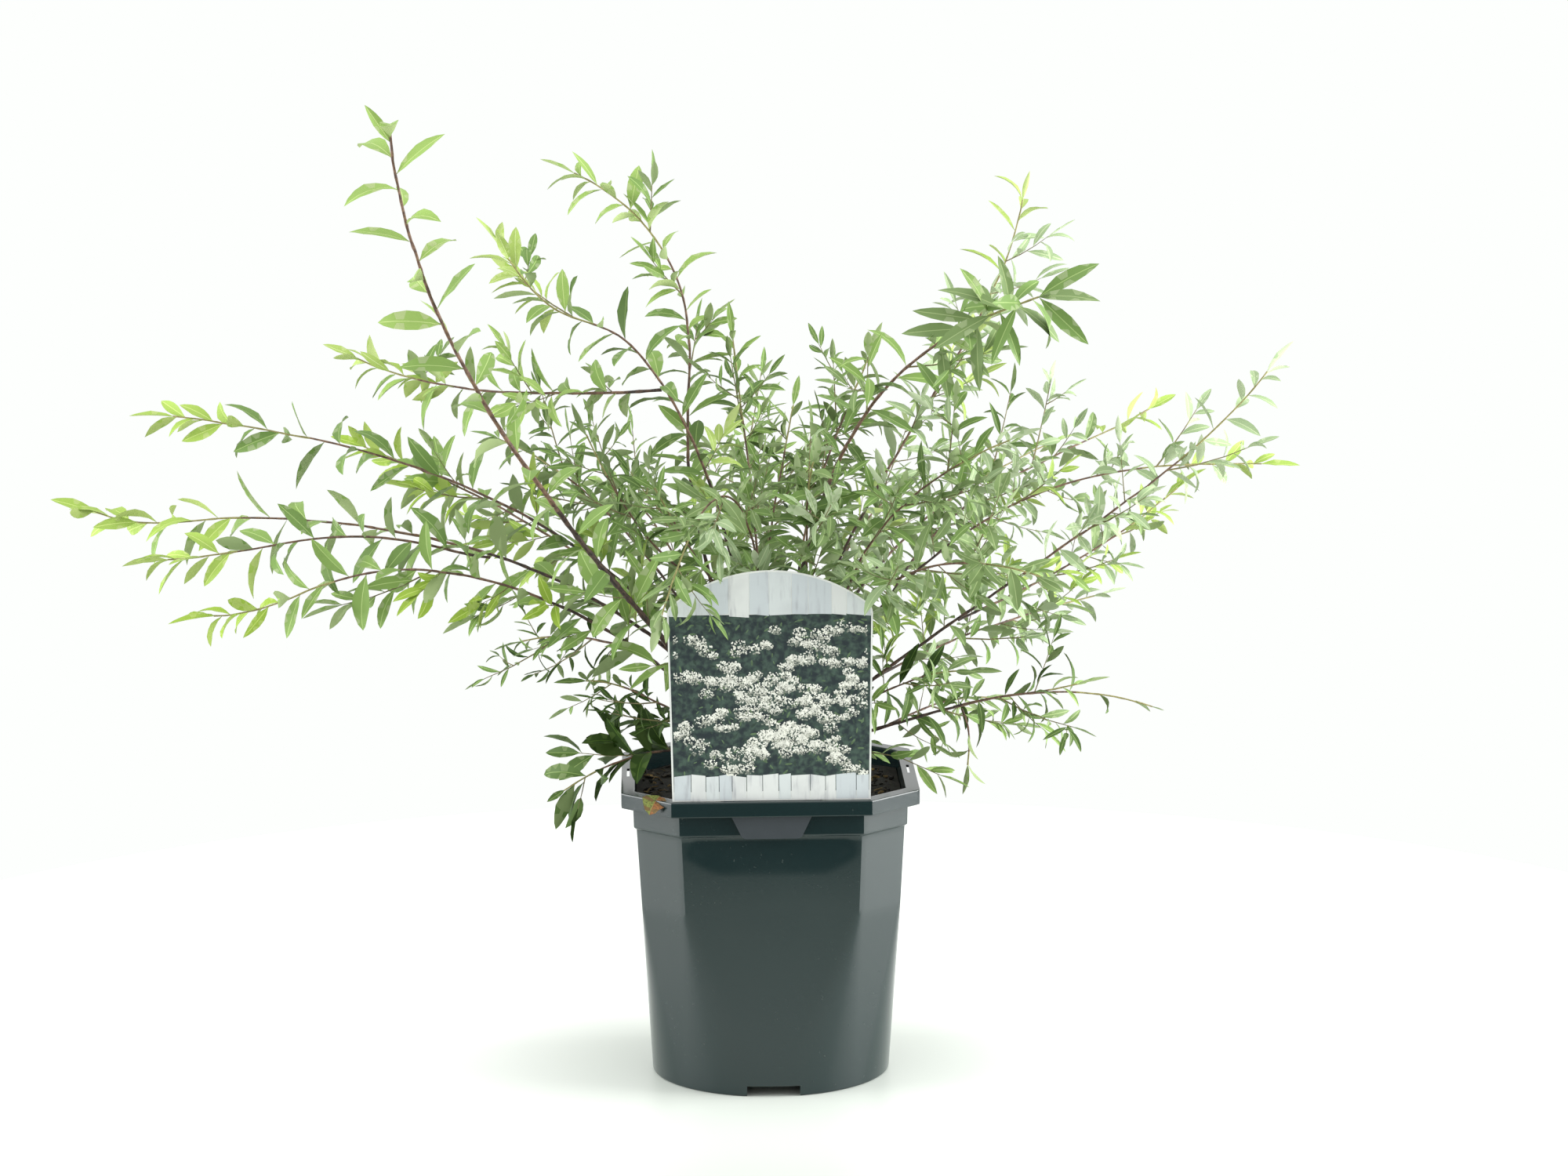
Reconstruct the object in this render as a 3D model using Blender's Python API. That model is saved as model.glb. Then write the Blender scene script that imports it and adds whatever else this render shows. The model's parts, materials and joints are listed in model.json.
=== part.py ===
"""A spirea shrub in its nursery pot: pot, potting mix, label, short stem, boughs and leafy masses.

Metres, +Z up. The origin is the middle of the pot's flat underside. The label stands at the
front, which is -Y; +X is on the right of somebody who looks at the label.
"""
import math
import random
from dataclasses import dataclass

import bmesh
import bpy
import numpy as np
from mathutils import Matrix, Vector

# Fit and seed
GAP = 0.0003
SEED = 5

# Pot: a round foot that turns into a square with cut corners
POT_HEIGHT = 0.197
FOOT_RADIUS = 0.0771
FACET_START = 0.120
FACET_HALF = 0.0827
COLLAR_START = 0.172
COLLAR_BELOW_HALF = 0.0856
COLLAR_HALF = 0.0873
RIM_HALF = 0.095
RIM_DROP = 0.0097
RIM_PLATE = 0.0016
APRON_WALL = 0.0015
COLLAR_STEP = 0.0015
WALL = 0.0013
MOUTH_HALF = 0.0872
EDGE = 0.0006
POT_SIDES = 32
CORNER_REACH = 1.1798
FLOOR_UNDERSIDE = 0.008
FLOOR_TOP = 0.0095
PAD_RADIUS = 0.020
FOOT_RING = 0.0029
NOTCH_WIDTH = 0.034
NOTCH_HEIGHT = 0.007
DRAIN_COUNT = 8
DRAIN_SIDES = 6
DRAIN_RADIUS = 0.004
DRAIN_CIRCLE = 0.050
SLOT_WIDTH = 0.0018
SLOT_DEPTH = 0.003
FRONT_SLOT_LENGTH = 0.064
SIDE_SLOT_LENGTH = 0.024
CUT_REACH = 0.020

# Label
LABEL_PLANE = -0.0907
LABEL_THICKNESS = 0.0008
LABEL_BOTTOM_WIDTH = 0.125
LABEL_WIDTH = 0.129
LABEL_SHOULDER = 0.128
LABEL_PEAK = 0.147
LABEL_CORNER = 0.009
TONGUE_WIDTH = 0.061
TONGUE_END_WIDTH = 0.040
TONGUE_DROP = 0.0245
TONGUE_CORNER = 0.004

# Potting mix and the short stem at its middle
SOIL_TOP = 0.185
SOIL_BUMP = 0.0025
SOIL_SLACK = 0.00005
SOIL_SHARES = (0.80, 0.56)
STEM_HEAD_RADIUS = 0.018
STEM_HEAD_HEIGHT = 0.203
STEM_FLARE = 0.024
FLARE_DROP = 0.004
STEM_SIDES = 16

# Limbs and leaves
BOUGH_SIDES = 5
BOUGH_RINGS = 8
STEM_RINGS = 6
STEM_TIP_RADIUS = 0.0008
TWIG_RADIUS = 0.0009
TWIG_SPREAD = 42.0
LEAF_SPACING = 0.0255
LEAF_TAKE_OFF = 52.0
LEAF_TIP_TAKE_OFF = 26.0
LEAF_WIDTH_SHARE = 0.30
LEAF_THICKNESS_SHARE = 0.03
LEAF_TRIES = 5
LEAF_ROLL = 65.0
FIRST_LEAF = 0.12
FIRST_LEAF_FROM_HEAD = 0.30
TIP_LEAF_SHARE = 0.75
TIP_LEAF_SINK = 0.003
LEAF_BELLY = 0.45
GOLDEN_ANGLE = 137.5
OWN_SPACE_MARGIN = 0.0012
LIMB_CLEARANCE = 0.0035
THING_CLEARANCE = 0.004
TWIG_MARGIN = 0.004
SAMPLES = 48


@dataclass(frozen=True)
class Cane:
    """One cane: where it ends, how it sets off and arrives, and what it carries.

    Bearings are degrees seen from above, 0 to the right and 90 to the back. The tip lies at
    reach and height from the middle of the pot's underside. rise and nod are the slopes at
    the foot and at the tip, swing and veer turn the heading there away from the bearing, and
    bow and hook are how far each end runs straight on, as shares of the span. bare is the
    share of the length that is a bough. A fork leaves its host at the share fork.
    """

    name: str
    bearing: float
    reach: float
    height: float
    rise: float
    nod: float
    bare: float = 0.0
    swing: float = 0.0
    veer: float = 0.0
    bow: float = 0.40
    hook: float = 0.30
    girth: float = 0.0018
    leaf: float = 0.036
    twigs: int = 2
    twig: float = 0.058
    host: str = ""
    fork: float = 0.0


CANES = (
    Cane("left_tall", 212, 0.270, 0.638, 46, 86, 0.34, swing=10, veer=30, hook=0.32, girth=0.0023,
         leaf=0.046, twigs=0),
    Cane("left_arch", 156, 0.156, 0.590, 66, 17, 0.40, swing=-6, bow=0.50, hook=0.31, girth=0.0020,
         leaf=0.034, twigs=3, twig=0.036),
    Cane("left_upper", 198, 0.191, 0.564, 82, 34, 0.62, swing=7, bow=0.57, hook=0.35,
         leaf=0.036, twigs=1),
    Cane("left_high", 173, 0.415, 0.430, 58, 6, 0.40, swing=-8, bow=0.44, hook=0.30, girth=0.0020,
         leaf=0.040, twigs=0),
    Cane("left_long", 181, 0.456, 0.386, 55, 14, 0.46, swing=6, bow=0.46, hook=0.26, girth=0.0021,
         leaf=0.040, twigs=0),
    Cane("left_low", 194, 0.388, 0.318, 46, -22, 0.40, swing=9, bow=0.50, hook=0.35, girth=0.0020,
         leaf=0.040, twigs=1),
    Cane("left_skirt", 205, 0.150, 0.262, 26, -35, swing=13, girth=0.0014, leaf=0.030),
    Cane("left_rim", 197, 0.150, 0.188, 14, -28, swing=-6, bow=0.5, girth=0.0014, leaf=0.036, twigs=1),
    Cane("right_tall", 325, 0.212, 0.520, 80, 18, 0.42, swing=5, bow=0.50, hook=0.42, girth=0.0023,
         leaf=0.048, twigs=2),
    Cane("right_upright", 25, 0.190, 0.578, 74, 90, 0.36, swing=-5, bow=0.48, hook=0.26, leaf=0.034,
         twigs=2),
    Cane("right_far", 355, 0.334, 0.480, 40, 62, 0.36, swing=-3, bow=0.42, hook=0.24, girth=0.0021,
         leaf=0.036, twigs=2),
    Cane("right_out", 7, 0.353, 0.386, 57, -4, 0.38, bow=0.54, hook=0.36, leaf=0.036, twigs=2),
    Cane("right_low", 356, 0.257, 0.236, 18, -22, 0.48, swing=-11, hook=0.35, girth=0.0021,
         leaf=0.030, twigs=0),
    Cane("right_under", 333, 0.165, 0.272, 35, -12, swing=-3, girth=0.0014, leaf=0.032),
    Cane("front_left", 242, 0.158, 0.300, 76, -60, swing=28, bow=1.25, hook=0.85, girth=0.0015,
         leaf=0.036),
    Cane("front_right", 315, 0.258, 0.346, 60, -12, 0.34, swing=-3, bow=0.52, hook=0.40,
         leaf=0.036, twigs=3),
    Cane("centre_tip", 123, 0.040, 0.500, 86, 80, swing=-23, girth=0.0014, leaf=0.032, twigs=4),
    Cane("back_left", 140, 0.255, 0.400, 55, 8, 0.34, swing=-5, bow=0.46, leaf=0.036, twigs=3),
    Cane("back_mid", 92, 0.300, 0.382, 58, 2, 0.34, bow=0.46, leaf=0.036, twigs=3),
    Cane("back_right", 44, 0.300, 0.385, 55, 10, 0.34, swing=4, bow=0.46, leaf=0.036, twigs=3),
    Cane("left_upper_fork", 173, 0.284, 0.480, -4, 44, bow=0.42, hook=0.24, girth=0.0013, leaf=0.034,
         twigs=1, host="left_upper", fork=0.585),
    Cane("centre_front", 222, 0.110, 0.412, 40, 52, girth=0.0013, leaf=0.032, twigs=3,
         host="left_upper", fork=0.20),
    Cane("centre_left", 182, 0.125, 0.440, 30, 62, swing=12, girth=0.0013, leaf=0.032, twigs=3,
         host="left_arch", fork=0.24),
    Cane("left_back", 156, 0.315, 0.402, 22, 14, swing=-22, girth=0.0014, leaf=0.036, twigs=2,
         host="left_high", fork=0.26),
    Cane("left_long_fork", 188, 0.412, 0.350, 0, 4, swing=24, bow=0.34, girth=0.0014, leaf=0.040,
         twigs=0, host="left_long", fork=0.42),
    Cane("left_under", 172, 0.180, 0.272, 8, -30, swing=-30, girth=0.0013, leaf=0.030,
         host="left_low", fork=0.24),
    Cane("front_high", 285, 0.125, 0.430, 74, 30, swing=-30, girth=0.0013, leaf=0.036, twigs=3,
         host="front_right", fork=0.20),
    Cane("front_mid", 326, 0.205, 0.436, 78, 20, swing=60, girth=0.0013, leaf=0.036, twigs=3,
         host="front_right", fork=0.30),
    Cane("centre_right", 39, 0.100, 0.482, 60, 66, swing=40, girth=0.0013, leaf=0.032, twigs=3,
         host="right_tall", fork=0.24),
    Cane("right_back", 30, 0.325, 0.420, 40, 28, swing=26, girth=0.0014, leaf=0.034, twigs=2,
         host="right_out", fork=0.28),
    Cane("right_tier", 15, 0.300, 0.385, 12, 48, swing=22, hook=0.24, girth=0.0014, leaf=0.034,
         twigs=2, host="right_far", fork=0.32),
    Cane("right_mid", 27, 0.275, 0.292, 10, 6, swing=24, girth=0.0014, leaf=0.032, twigs=2,
         host="right_far", fork=0.17),
    Cane("right_low_fork", 350, 0.222, 0.265, 20, 24, swing=-25, girth=0.0012, leaf=0.030, twigs=1,
         host="right_low", fork=0.42),
    Cane("right_skirt", 14, 0.168, 0.228, 14, -34, swing=24, girth=0.0012, leaf=0.030, twigs=1,
         host="right_low", fork=0.25),
    Cane("right_drop", 356, 0.128, 0.180, -62, -84, swing=-20, girth=0.0010, leaf=0.030, twigs=0,
         host="right_low", fork=0.455),
    Cane("back_mid_left", 116, 0.270, 0.350, 24, -16, swing=-20, girth=0.0013, leaf=0.036, twigs=3,
         host="back_left", fork=0.22),
    Cane("back_high", 78, 0.120, 0.440, 80, 48, girth=0.0013, leaf=0.032, twigs=4,
         host="back_mid", fork=0.20),
    Cane("back_low", 104, 0.190, 0.270, 4, -30, swing=28, girth=0.0013, leaf=0.032, twigs=2,
         host="back_mid", fork=0.14),
    Cane("back_mid_right", 66, 0.280, 0.340, 22, -16, swing=24, girth=0.0013, leaf=0.036, twigs=3,
         host="back_right", fork=0.22),
)


def clear_scene() -> None:
    """Remove every object that the file opens with."""
    for thing in list(bpy.data.objects):
        bpy.data.objects.remove(thing, do_unlink=True)


def material(name: str, colour: tuple, roughness: float, metallic: float = 0.0):
    """Return the plain surface finish of one kind of piece."""
    made = bpy.data.materials.get(name)
    if made is None:
        made = bpy.data.materials.new(name)
        made.use_nodes = True
        shader = made.node_tree.nodes["Principled BSDF"]
        shader.inputs["Base Color"].default_value = (*colour, 1.0)
        shader.inputs["Roughness"].default_value = roughness
        shader.inputs["Metallic"].default_value = metallic
    return made


def pot_plastic():
    """Dark green-grey glossy plastic."""
    return material("pot_plastic", (0.045, 0.078, 0.080), 0.32)


def peat():
    """Dark crumbly potting mix."""
    return material("peat", (0.030, 0.020, 0.014), 0.95)


def label_card():
    """Pale printed plastic card."""
    return material("label_card", (0.42, 0.46, 0.44), 0.40)


def bark():
    """Red-brown young bark."""
    return material("bark", (0.120, 0.062, 0.045), 0.70)


def foliage():
    """Mid green leaf."""
    return material("foliage", (0.135, 0.270, 0.075), 0.55)


def add_object(name: str, bm, finish):
    """Turn a bmesh into a named object in the scene."""
    bmesh.ops.recalc_face_normals(bm, faces=bm.faces)
    mesh = bpy.data.meshes.new(name)
    bm.to_mesh(mesh)
    bm.free()
    mesh.materials.append(finish)
    made = bpy.data.objects.new(name, mesh)
    bpy.context.scene.collection.objects.link(made)
    return made


def bridge_rings(bm, rings: list) -> None:
    """Join each ring of vertices to the next and close both ends."""
    for low, high in zip(rings, rings[1:]):
        edges = [bm.edges.get((ring[i - 1], ring[i])) for ring in (low, high) for i in range(len(ring))]
        bmesh.ops.bridge_loops(bm, edges=edges)
    for ring in (rings[0], rings[-1]):
        bm.faces.new(ring)


def loop_of(bm, points: list) -> list:
    """Add a closed loop of vertices and edges through the points."""
    ring = [bm.verts.new(point) for point in points]
    for i in range(len(ring)):
        bm.edges.new((ring[i - 1], ring[i]))
    return ring


def lofted(points_by_ring: list):
    """Return a bmesh of a closed body lofted through rings of points."""
    bm = bmesh.new()
    bridge_rings(bm, [loop_of(bm, points) for points in points_by_ring])
    return bm


def split_outward(bm):
    """Split each four-sided face along the diagonal that stands out further from the axis.

    The faces between the round foot and the facets are twisted, and a wall's two sides stay
    parallel only when both are split the same way.
    """
    for face in [face for face in bm.faces if len(face.verts) == 4]:
        corners = list(face.verts)
        spans = [(corners[0], corners[2]), (corners[1], corners[3])]
        reaches = [(low.co + high.co).xy.length for low, high in spans]
        pair = spans[0] if reaches[0] >= reaches[1] else spans[1]
        bmesh.ops.connect_vert_pair(bm, verts=list(pair))
    return bm


def facet_radius(half: float, angle: float) -> float:
    """Distance from the axis to a square with cut corners, half across its flats."""
    across = abs(math.cos(angle))
    along = abs(math.sin(angle))
    cut = half * CORNER_REACH * math.sqrt(2.0) / (across + along)
    return min(half / max(across, along), cut)


def pot_ring(height: float, half: float, roundness: float = 0.0, radius: float = 0.0) -> list:
    """Points of one ring of the pot, between faceted and round."""
    points = []
    for i in range(POT_SIDES):
        angle = math.tau * i / POT_SIDES
        reach = (1.0 - roundness) * facet_radius(half, angle) + roundness * radius
        points.append((reach * math.cos(angle), reach * math.sin(angle), height))
    return points


def round_ring(height: float, radius: float) -> list:
    """Points of a round ring of the pot."""
    return pot_ring(height, radius, 1.0, radius)


def cutter(name: str, bm) -> bpy.types.Object:
    """A body that is only there to be taken away."""
    made = add_object(name, bm, pot_plastic())
    made.hide_render = True
    made.display_type = "WIRE"
    return made


def box(size: tuple, centre: tuple):
    """Return a bmesh of a block."""
    bm = bmesh.new()
    bmesh.ops.create_cube(bm, size=1.0, matrix=Matrix.LocRotScale(Vector(centre), None, Vector(size)))
    return bm


def build_pot():
    """Foot ring, raised floor, faceted wall, stepped collar and a rim with a hanging apron."""
    rim_under = POT_HEIGHT - RIM_PLATE
    apron_end = POT_HEIGHT - RIM_DROP
    rings = [
        round_ring(0.0, PAD_RADIUS),
        round_ring(FLOOR_UNDERSIDE, PAD_RADIUS + 0.002),
        round_ring(FLOOR_UNDERSIDE, FOOT_RADIUS - 2.0 * FOOT_RING + 0.0005),
        round_ring(0.0, FOOT_RADIUS - FOOT_RING - EDGE),
        round_ring(0.0, FOOT_RADIUS - EDGE),
        round_ring(0.001, FOOT_RADIUS),
        pot_ring(FACET_START, FACET_HALF),
        pot_ring(COLLAR_START, COLLAR_BELOW_HALF),
        pot_ring(COLLAR_START + COLLAR_STEP, COLLAR_HALF),
        pot_ring(rim_under, COLLAR_HALF + EDGE),
        pot_ring(rim_under, RIM_HALF - APRON_WALL),
        pot_ring(apron_end, RIM_HALF - APRON_WALL),
        pot_ring(apron_end, RIM_HALF),
        pot_ring(POT_HEIGHT - EDGE, RIM_HALF),
        pot_ring(POT_HEIGHT, RIM_HALF - EDGE),
        pot_ring(POT_HEIGHT, MOUTH_HALF),
        pot_ring(POT_HEIGHT - 2.0 * EDGE, MOUTH_HALF - EDGE),
        pot_ring(COLLAR_START + 2.0 * COLLAR_STEP, COLLAR_HALF - WALL),
        pot_ring(COLLAR_START, COLLAR_BELOW_HALF - WALL),
        pot_ring(FACET_START, FACET_HALF - WALL),
        round_ring(FLOOR_TOP, FOOT_RADIUS - WALL),
    ]
    pot = add_object("pot", split_outward(lofted(rings)), pot_plastic())
    cuts = []
    for side in (-1, 1):
        cuts.append(box((NOTCH_WIDTH, CUT_REACH, 2.0 * NOTCH_HEIGHT), (0.0, side * FOOT_RADIUS, 0.0)))
        cuts.append(box((FRONT_SLOT_LENGTH, SLOT_WIDTH, 2.0 * SLOT_DEPTH), (0.0, side * LABEL_PLANE, POT_HEIGHT)))
        cuts.append(box((SLOT_WIDTH, SIDE_SLOT_LENGTH, 2.0 * SLOT_DEPTH), (side * LABEL_PLANE, 0.0, POT_HEIGHT)))
    for i in range(DRAIN_COUNT):
        turn = math.tau * (i + 0.5) / DRAIN_COUNT
        place = Matrix.Translation((DRAIN_CIRCLE * math.cos(turn), DRAIN_CIRCLE * math.sin(turn), FLOOR_TOP))
        hole = bmesh.new()
        bmesh.ops.create_cone(hole, cap_ends=True, segments=DRAIN_SIDES, radius1=DRAIN_RADIUS,
                              radius2=DRAIN_RADIUS, depth=CUT_REACH / 2.0, matrix=place)
        cuts.append(hole)
    tools = bpy.data.collections.new("pot_cutters")
    bpy.context.scene.collection.children.link(tools)
    for i, bm in enumerate(cuts):
        tool = cutter(f"pot_cutter_{i}", bm)
        bpy.context.scene.collection.objects.unlink(tool)
        tools.objects.link(tool)
    apply_collection(pot, tools, "DIFFERENCE", "EXACT")
    pot.data.set_sharp_from_angle(angle=math.radians(20.0))
    return pot


def build_potting_mix():
    """The mix fills the pot and is a little uneven on top, level under the short stem."""
    rng = random.Random(SEED)
    slack = GAP + SOIL_SLACK
    rings = [
        round_ring(FLOOR_TOP + GAP, FOOT_RADIUS - WALL - slack),
        pot_ring(FACET_START, FACET_HALF - WALL - slack),
        pot_ring(COLLAR_START, COLLAR_BELOW_HALF - WALL - slack),
        pot_ring(COLLAR_START + 2.0 * COLLAR_STEP + GAP, COLLAR_HALF - WALL - slack),
        pot_ring(SOIL_TOP - SOIL_BUMP, COLLAR_HALF - WALL - slack),
    ]
    for share in SOIL_SHARES:
        ring = []
        for x, y, z in pot_ring(SOIL_TOP, (COLLAR_HALF - WALL) * share, 0.5, COLLAR_HALF * share):
            ring.append((x, y, z + rng.uniform(-SOIL_BUMP, 0.0)))
        rings.append(ring)
    rings.append(round_ring(SOIL_TOP, STEM_FLARE + FLARE_DROP))
    return add_object("potting_mix", split_outward(lofted(rings)), peat())


def arc(centre: tuple, radius: float, start: float, end: float, steps: int) -> list:
    """Points along an arc in the label's plane, ends included."""
    turns = [math.radians(start + (end - start) * i / steps) for i in range(steps + 1)]
    return [(centre[0] + radius * math.cos(turn), centre[1] + radius * math.sin(turn)) for turn in turns]


def label_outline() -> list:
    """Half of the label's outline, from the tongue's end up to the peak, on the right side."""
    base = POT_HEIGHT + GAP
    tongue_end = POT_HEIGHT - TONGUE_DROP
    half = LABEL_WIDTH / 2.0
    shoulder = base + LABEL_SHOULDER - LABEL_CORNER
    points = arc((TONGUE_END_WIDTH / 2.0 - TONGUE_CORNER, tongue_end + TONGUE_CORNER), TONGUE_CORNER,
                 -90.0, -20.0, 3)
    points += [(TONGUE_WIDTH / 2.0, base), (LABEL_BOTTOM_WIDTH / 2.0, base)]
    points += arc((half - LABEL_CORNER, shoulder), LABEL_CORNER, 0.0, 64.0, 4)
    edge_x, edge_z = points[-1]
    rise = base + LABEL_PEAK - edge_z
    radius = (edge_x ** 2 + rise ** 2) / (2.0 * rise)
    centre_z = base + LABEL_PEAK - radius
    start = math.degrees(math.atan2(edge_z - centre_z, edge_x))
    points += arc((0.0, centre_z), radius, start, 90.0, 5)[1:]
    return points


def build_label():
    """Card with round shoulders and an arched top, on a tongue through the rim's front slot."""
    right = label_outline()
    left = [(-x, z) for x, z in reversed(right[:-1])]
    bm = bmesh.new()
    front = LABEL_PLANE - LABEL_THICKNESS / 2.0
    face = bm.faces.new([bm.verts.new((x, front, z)) for x, z in right + left])
    grown = bmesh.ops.extrude_face_region(bm, geom=[face])["geom"]
    moved = [item for item in grown if isinstance(item, bmesh.types.BMVert)]
    bmesh.ops.translate(bm, verts=moved, vec=(0.0, LABEL_THICKNESS, 0.0))
    return add_object("label", bm, label_card())


def build_short_stem():
    """Knobbly short stem: flat cut at the mix, root flare, and a round head that the canes leave."""
    profile = [(STEM_FLARE, SOIL_TOP + GAP), (STEM_FLARE - FLARE_DROP, SOIL_TOP + FLARE_DROP)]
    for slope in range(-25, 80, 17):
        turn = math.radians(slope)
        profile.append((STEM_HEAD_RADIUS * math.cos(turn), STEM_HEAD_HEIGHT + STEM_HEAD_RADIUS * math.sin(turn)))
    rings = []
    for radius, height in profile:
        turns = [math.tau * i / STEM_SIDES for i in range(STEM_SIDES)]
        rings.append([(radius * math.cos(turn), radius * math.sin(turn), height) for turn in turns])
    stem = add_object("short_stem", lofted(rings), bark())
    stem.data.shade_smooth()
    return stem


def heading(bearing: float, slope: float) -> Vector:
    """Unit vector of a bearing and a slope in degrees."""
    turn = math.radians(bearing)
    tilt = math.radians(slope)
    return Vector((math.cos(turn) * math.cos(tilt), math.sin(turn) * math.cos(tilt), math.sin(tilt)))


class Run:
    """A smooth curve read by its share of length."""

    def __init__(self, controls: list):
        """Sample the cubic curve with these four control points."""
        points = []
        for i in range(SAMPLES + 1):
            t = i / SAMPLES
            s = 1.0 - t
            weights = (s ** 3, 3.0 * s * s * t, 3.0 * s * t * t, t ** 3)
            points.append(sum((control * weight for control, weight in zip(controls, weights)), Vector()))
        self.points = points
        self.marks = [0.0]
        for before, after in zip(points, points[1:]):
            self.marks.append(self.marks[-1] + (after - before).length)
        self.length = self.marks[-1]

    def at(self, share: float) -> Vector:
        """Point at a share of the length."""
        goal = min(max(share, 0.0), 1.0) * self.length
        for i in range(1, len(self.marks)):
            if goal <= self.marks[i] or i == len(self.marks) - 1:
                part = (goal - self.marks[i - 1]) / (self.marks[i] - self.marks[i - 1])
                return self.points[i - 1].lerp(self.points[i], part)
        return self.points[-1]

    def way(self, share: float) -> Vector:
        """Direction at a share of the length."""
        return (self.at(share + 0.01) - self.at(share - 0.01)).normalized()


def limb_radius(cane: Cane, share: float) -> float:
    """Radius of a cane at a share of its length, tapering from its girth to its tip."""
    return cane.girth + (STEM_TIP_RADIUS - cane.girth) * share


def cane_run(cane: Cane, runs: dict) -> Run:
    """Curve of a cane from the short stem's head, or from its host's side, to its tip."""
    turn = math.radians(cane.bearing)
    tip = Vector((cane.reach * math.cos(turn), cane.reach * math.sin(turn), cane.height))
    leaving = heading(cane.bearing + cane.swing, cane.rise)
    if cane.host:
        host = next(other for other in CANES if other.name == cane.host)
        along = runs[cane.host].way(cane.fork)
        cosine = abs(along.dot(leaving))
        sine = math.sqrt(1.0 - cosine * cosine)
        stand_off = (limb_radius(host, cane.fork) + GAP + cane.girth * cosine) / sine
        foot = runs[cane.host].at(cane.fork) + leaving * stand_off
    else:
        foot = Vector((0.0, 0.0, STEM_HEAD_HEIGHT)) + leaving * (STEM_HEAD_RADIUS + GAP)
    span = (tip - foot).length
    arriving = heading(cane.bearing + cane.veer, cane.nod)
    return Run([foot, foot + leaving * span * cane.bow, tip - arriving * span * cane.hook, tip])


def side_of(way: Vector) -> Vector:
    """A unit vector square to a direction."""
    guide = Vector((0.0, 0.0, 1.0)) if abs(way.z) < 0.9 else Vector((1.0, 0.0, 0.0))
    return way.cross(guide).normalized()


def tube(points: list, radii: list, sides: int):
    """Return a bmesh of a closed tapering tube of a few sides along the points."""
    rings = []
    side = None
    for i, point in enumerate(points):
        way = (points[min(i + 1, len(points) - 1)] - points[max(i - 1, 0)]).normalized()
        side = side_of(way) if side is None else (side - way * side.dot(way)).normalized()
        lift = way.cross(side)
        ring = []
        for k in range(sides):
            turn = math.tau * k / sides
            ring.append(point + (side * math.cos(turn) + lift * math.sin(turn)) * radii[i])
        rings.append(ring)
    return lofted(rings)


def build_bough(cane: Cane, run: Run):
    """Bare lower part of a cane, one tapering limb."""
    shares = [cane.bare * i / (BOUGH_RINGS - 1) for i in range(BOUGH_RINGS)]
    bm = tube([run.at(share) for share in shares], [limb_radius(cane, share) for share in shares], BOUGH_SIDES)
    bough = add_object(cane.name + "_bough", bm, bark())
    bough.data.shade_smooth()
    return bough


def stem_start(cane: Cane, run: Run) -> float:
    """Share of the length where the leafy stem begins, clear of its bough."""
    return cane.bare + GAP / run.length if cane.bare else 0.0


def stem_end(cane: Cane, run: Run) -> float:
    """Share of the length where the stem ends and its last leaf carries on."""
    return 1.0 - TIP_LEAF_SHARE * cane.leaf / run.length


def twig_points(root: Vector, way: Vector, length: float) -> list:
    """Points of a twig that turns up a little as it grows."""
    points = [root]
    for step in range(1, 4):
        bent = (way + Vector((0.0, 0.0, 0.10 * step))).normalized()
        points.append(points[-1] + bent * (length / 3.0))
    return points


def spun(way: Vector, spread: float, turn: float) -> Vector:
    """A direction that leaves another at an angle, on a given side of it."""
    side = side_of(way)
    lift = way.cross(side)
    out = side * math.cos(math.radians(turn)) + lift * math.sin(math.radians(turn))
    tilt = math.radians(spread)
    return (way * math.cos(tilt) + out * math.sin(tilt)).normalized()


class Ground:
    """Knows which limb each place is nearest to, and what stands in the way."""

    def __init__(self):
        """Start with no limbs."""
        self.points = np.zeros((0, 3))
        self.owners = np.zeros(0, dtype=int)

    def add(self, owner: int, points: list) -> None:
        """Add points along a limb of an owner."""
        self.points = np.vstack([self.points, np.array([tuple(point) for point in points])])
        self.owners = np.concatenate([self.owners, np.full(len(points), owner)])

    def keeps(self, owner: int, points: list, margin: float) -> bool:
        """Whether all points are nearer to the owner's limbs than to any other's."""
        places = np.array([tuple(point) for point in points])
        reach = np.linalg.norm(places[:, None, :] - self.points[None, :, :], axis=2)
        own = reach[:, self.owners == owner].min(axis=1)
        others = reach[:, self.owners != owner].min(axis=1)
        return bool(np.all(own + margin < others) and np.all(others > LIMB_CLEARANCE))


def in_the_way(point: Vector) -> bool:
    """Whether a point touches the pot, the mix, the short stem or the label."""
    clear = THING_CLEARANCE
    over_pot = max(abs(point.x), abs(point.y)) < RIM_HALF + clear
    if over_pot and point.z < POT_HEIGHT + clear:
        return True
    if (point - Vector((0.0, 0.0, STEM_HEAD_HEIGHT))).length < STEM_HEAD_RADIUS + clear:
        return True
    behind_label = abs(point.y - LABEL_PLANE) < 1.5 * clear
    return behind_label and abs(point.x) < LABEL_WIDTH / 2.0 + clear and point.z < POT_HEIGHT + LABEL_PEAK + clear


def leaf_points(root: Vector, way: Vector, across: Vector, length: float) -> list:
    """Root, tip, both sides, and the two faces of a leaf."""
    side = across * length * LEAF_WIDTH_SHARE / 2.0
    face = way.cross(across) * length * LEAF_THICKNESS_SHARE / 2.0
    belly = root + way * length * LEAF_BELLY
    return [root - way * TWIG_RADIUS * 0.3, root + way * length, belly + side, belly - side, belly + face,
            belly - face]


def leaf_body(points: list):
    """Return a bmesh of the eight-faced leaf over its six points."""
    bm = bmesh.new()
    for point in points:
        bm.verts.new(point)
    bmesh.ops.convex_hull(bm, input=bm.verts)
    return bm


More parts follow.
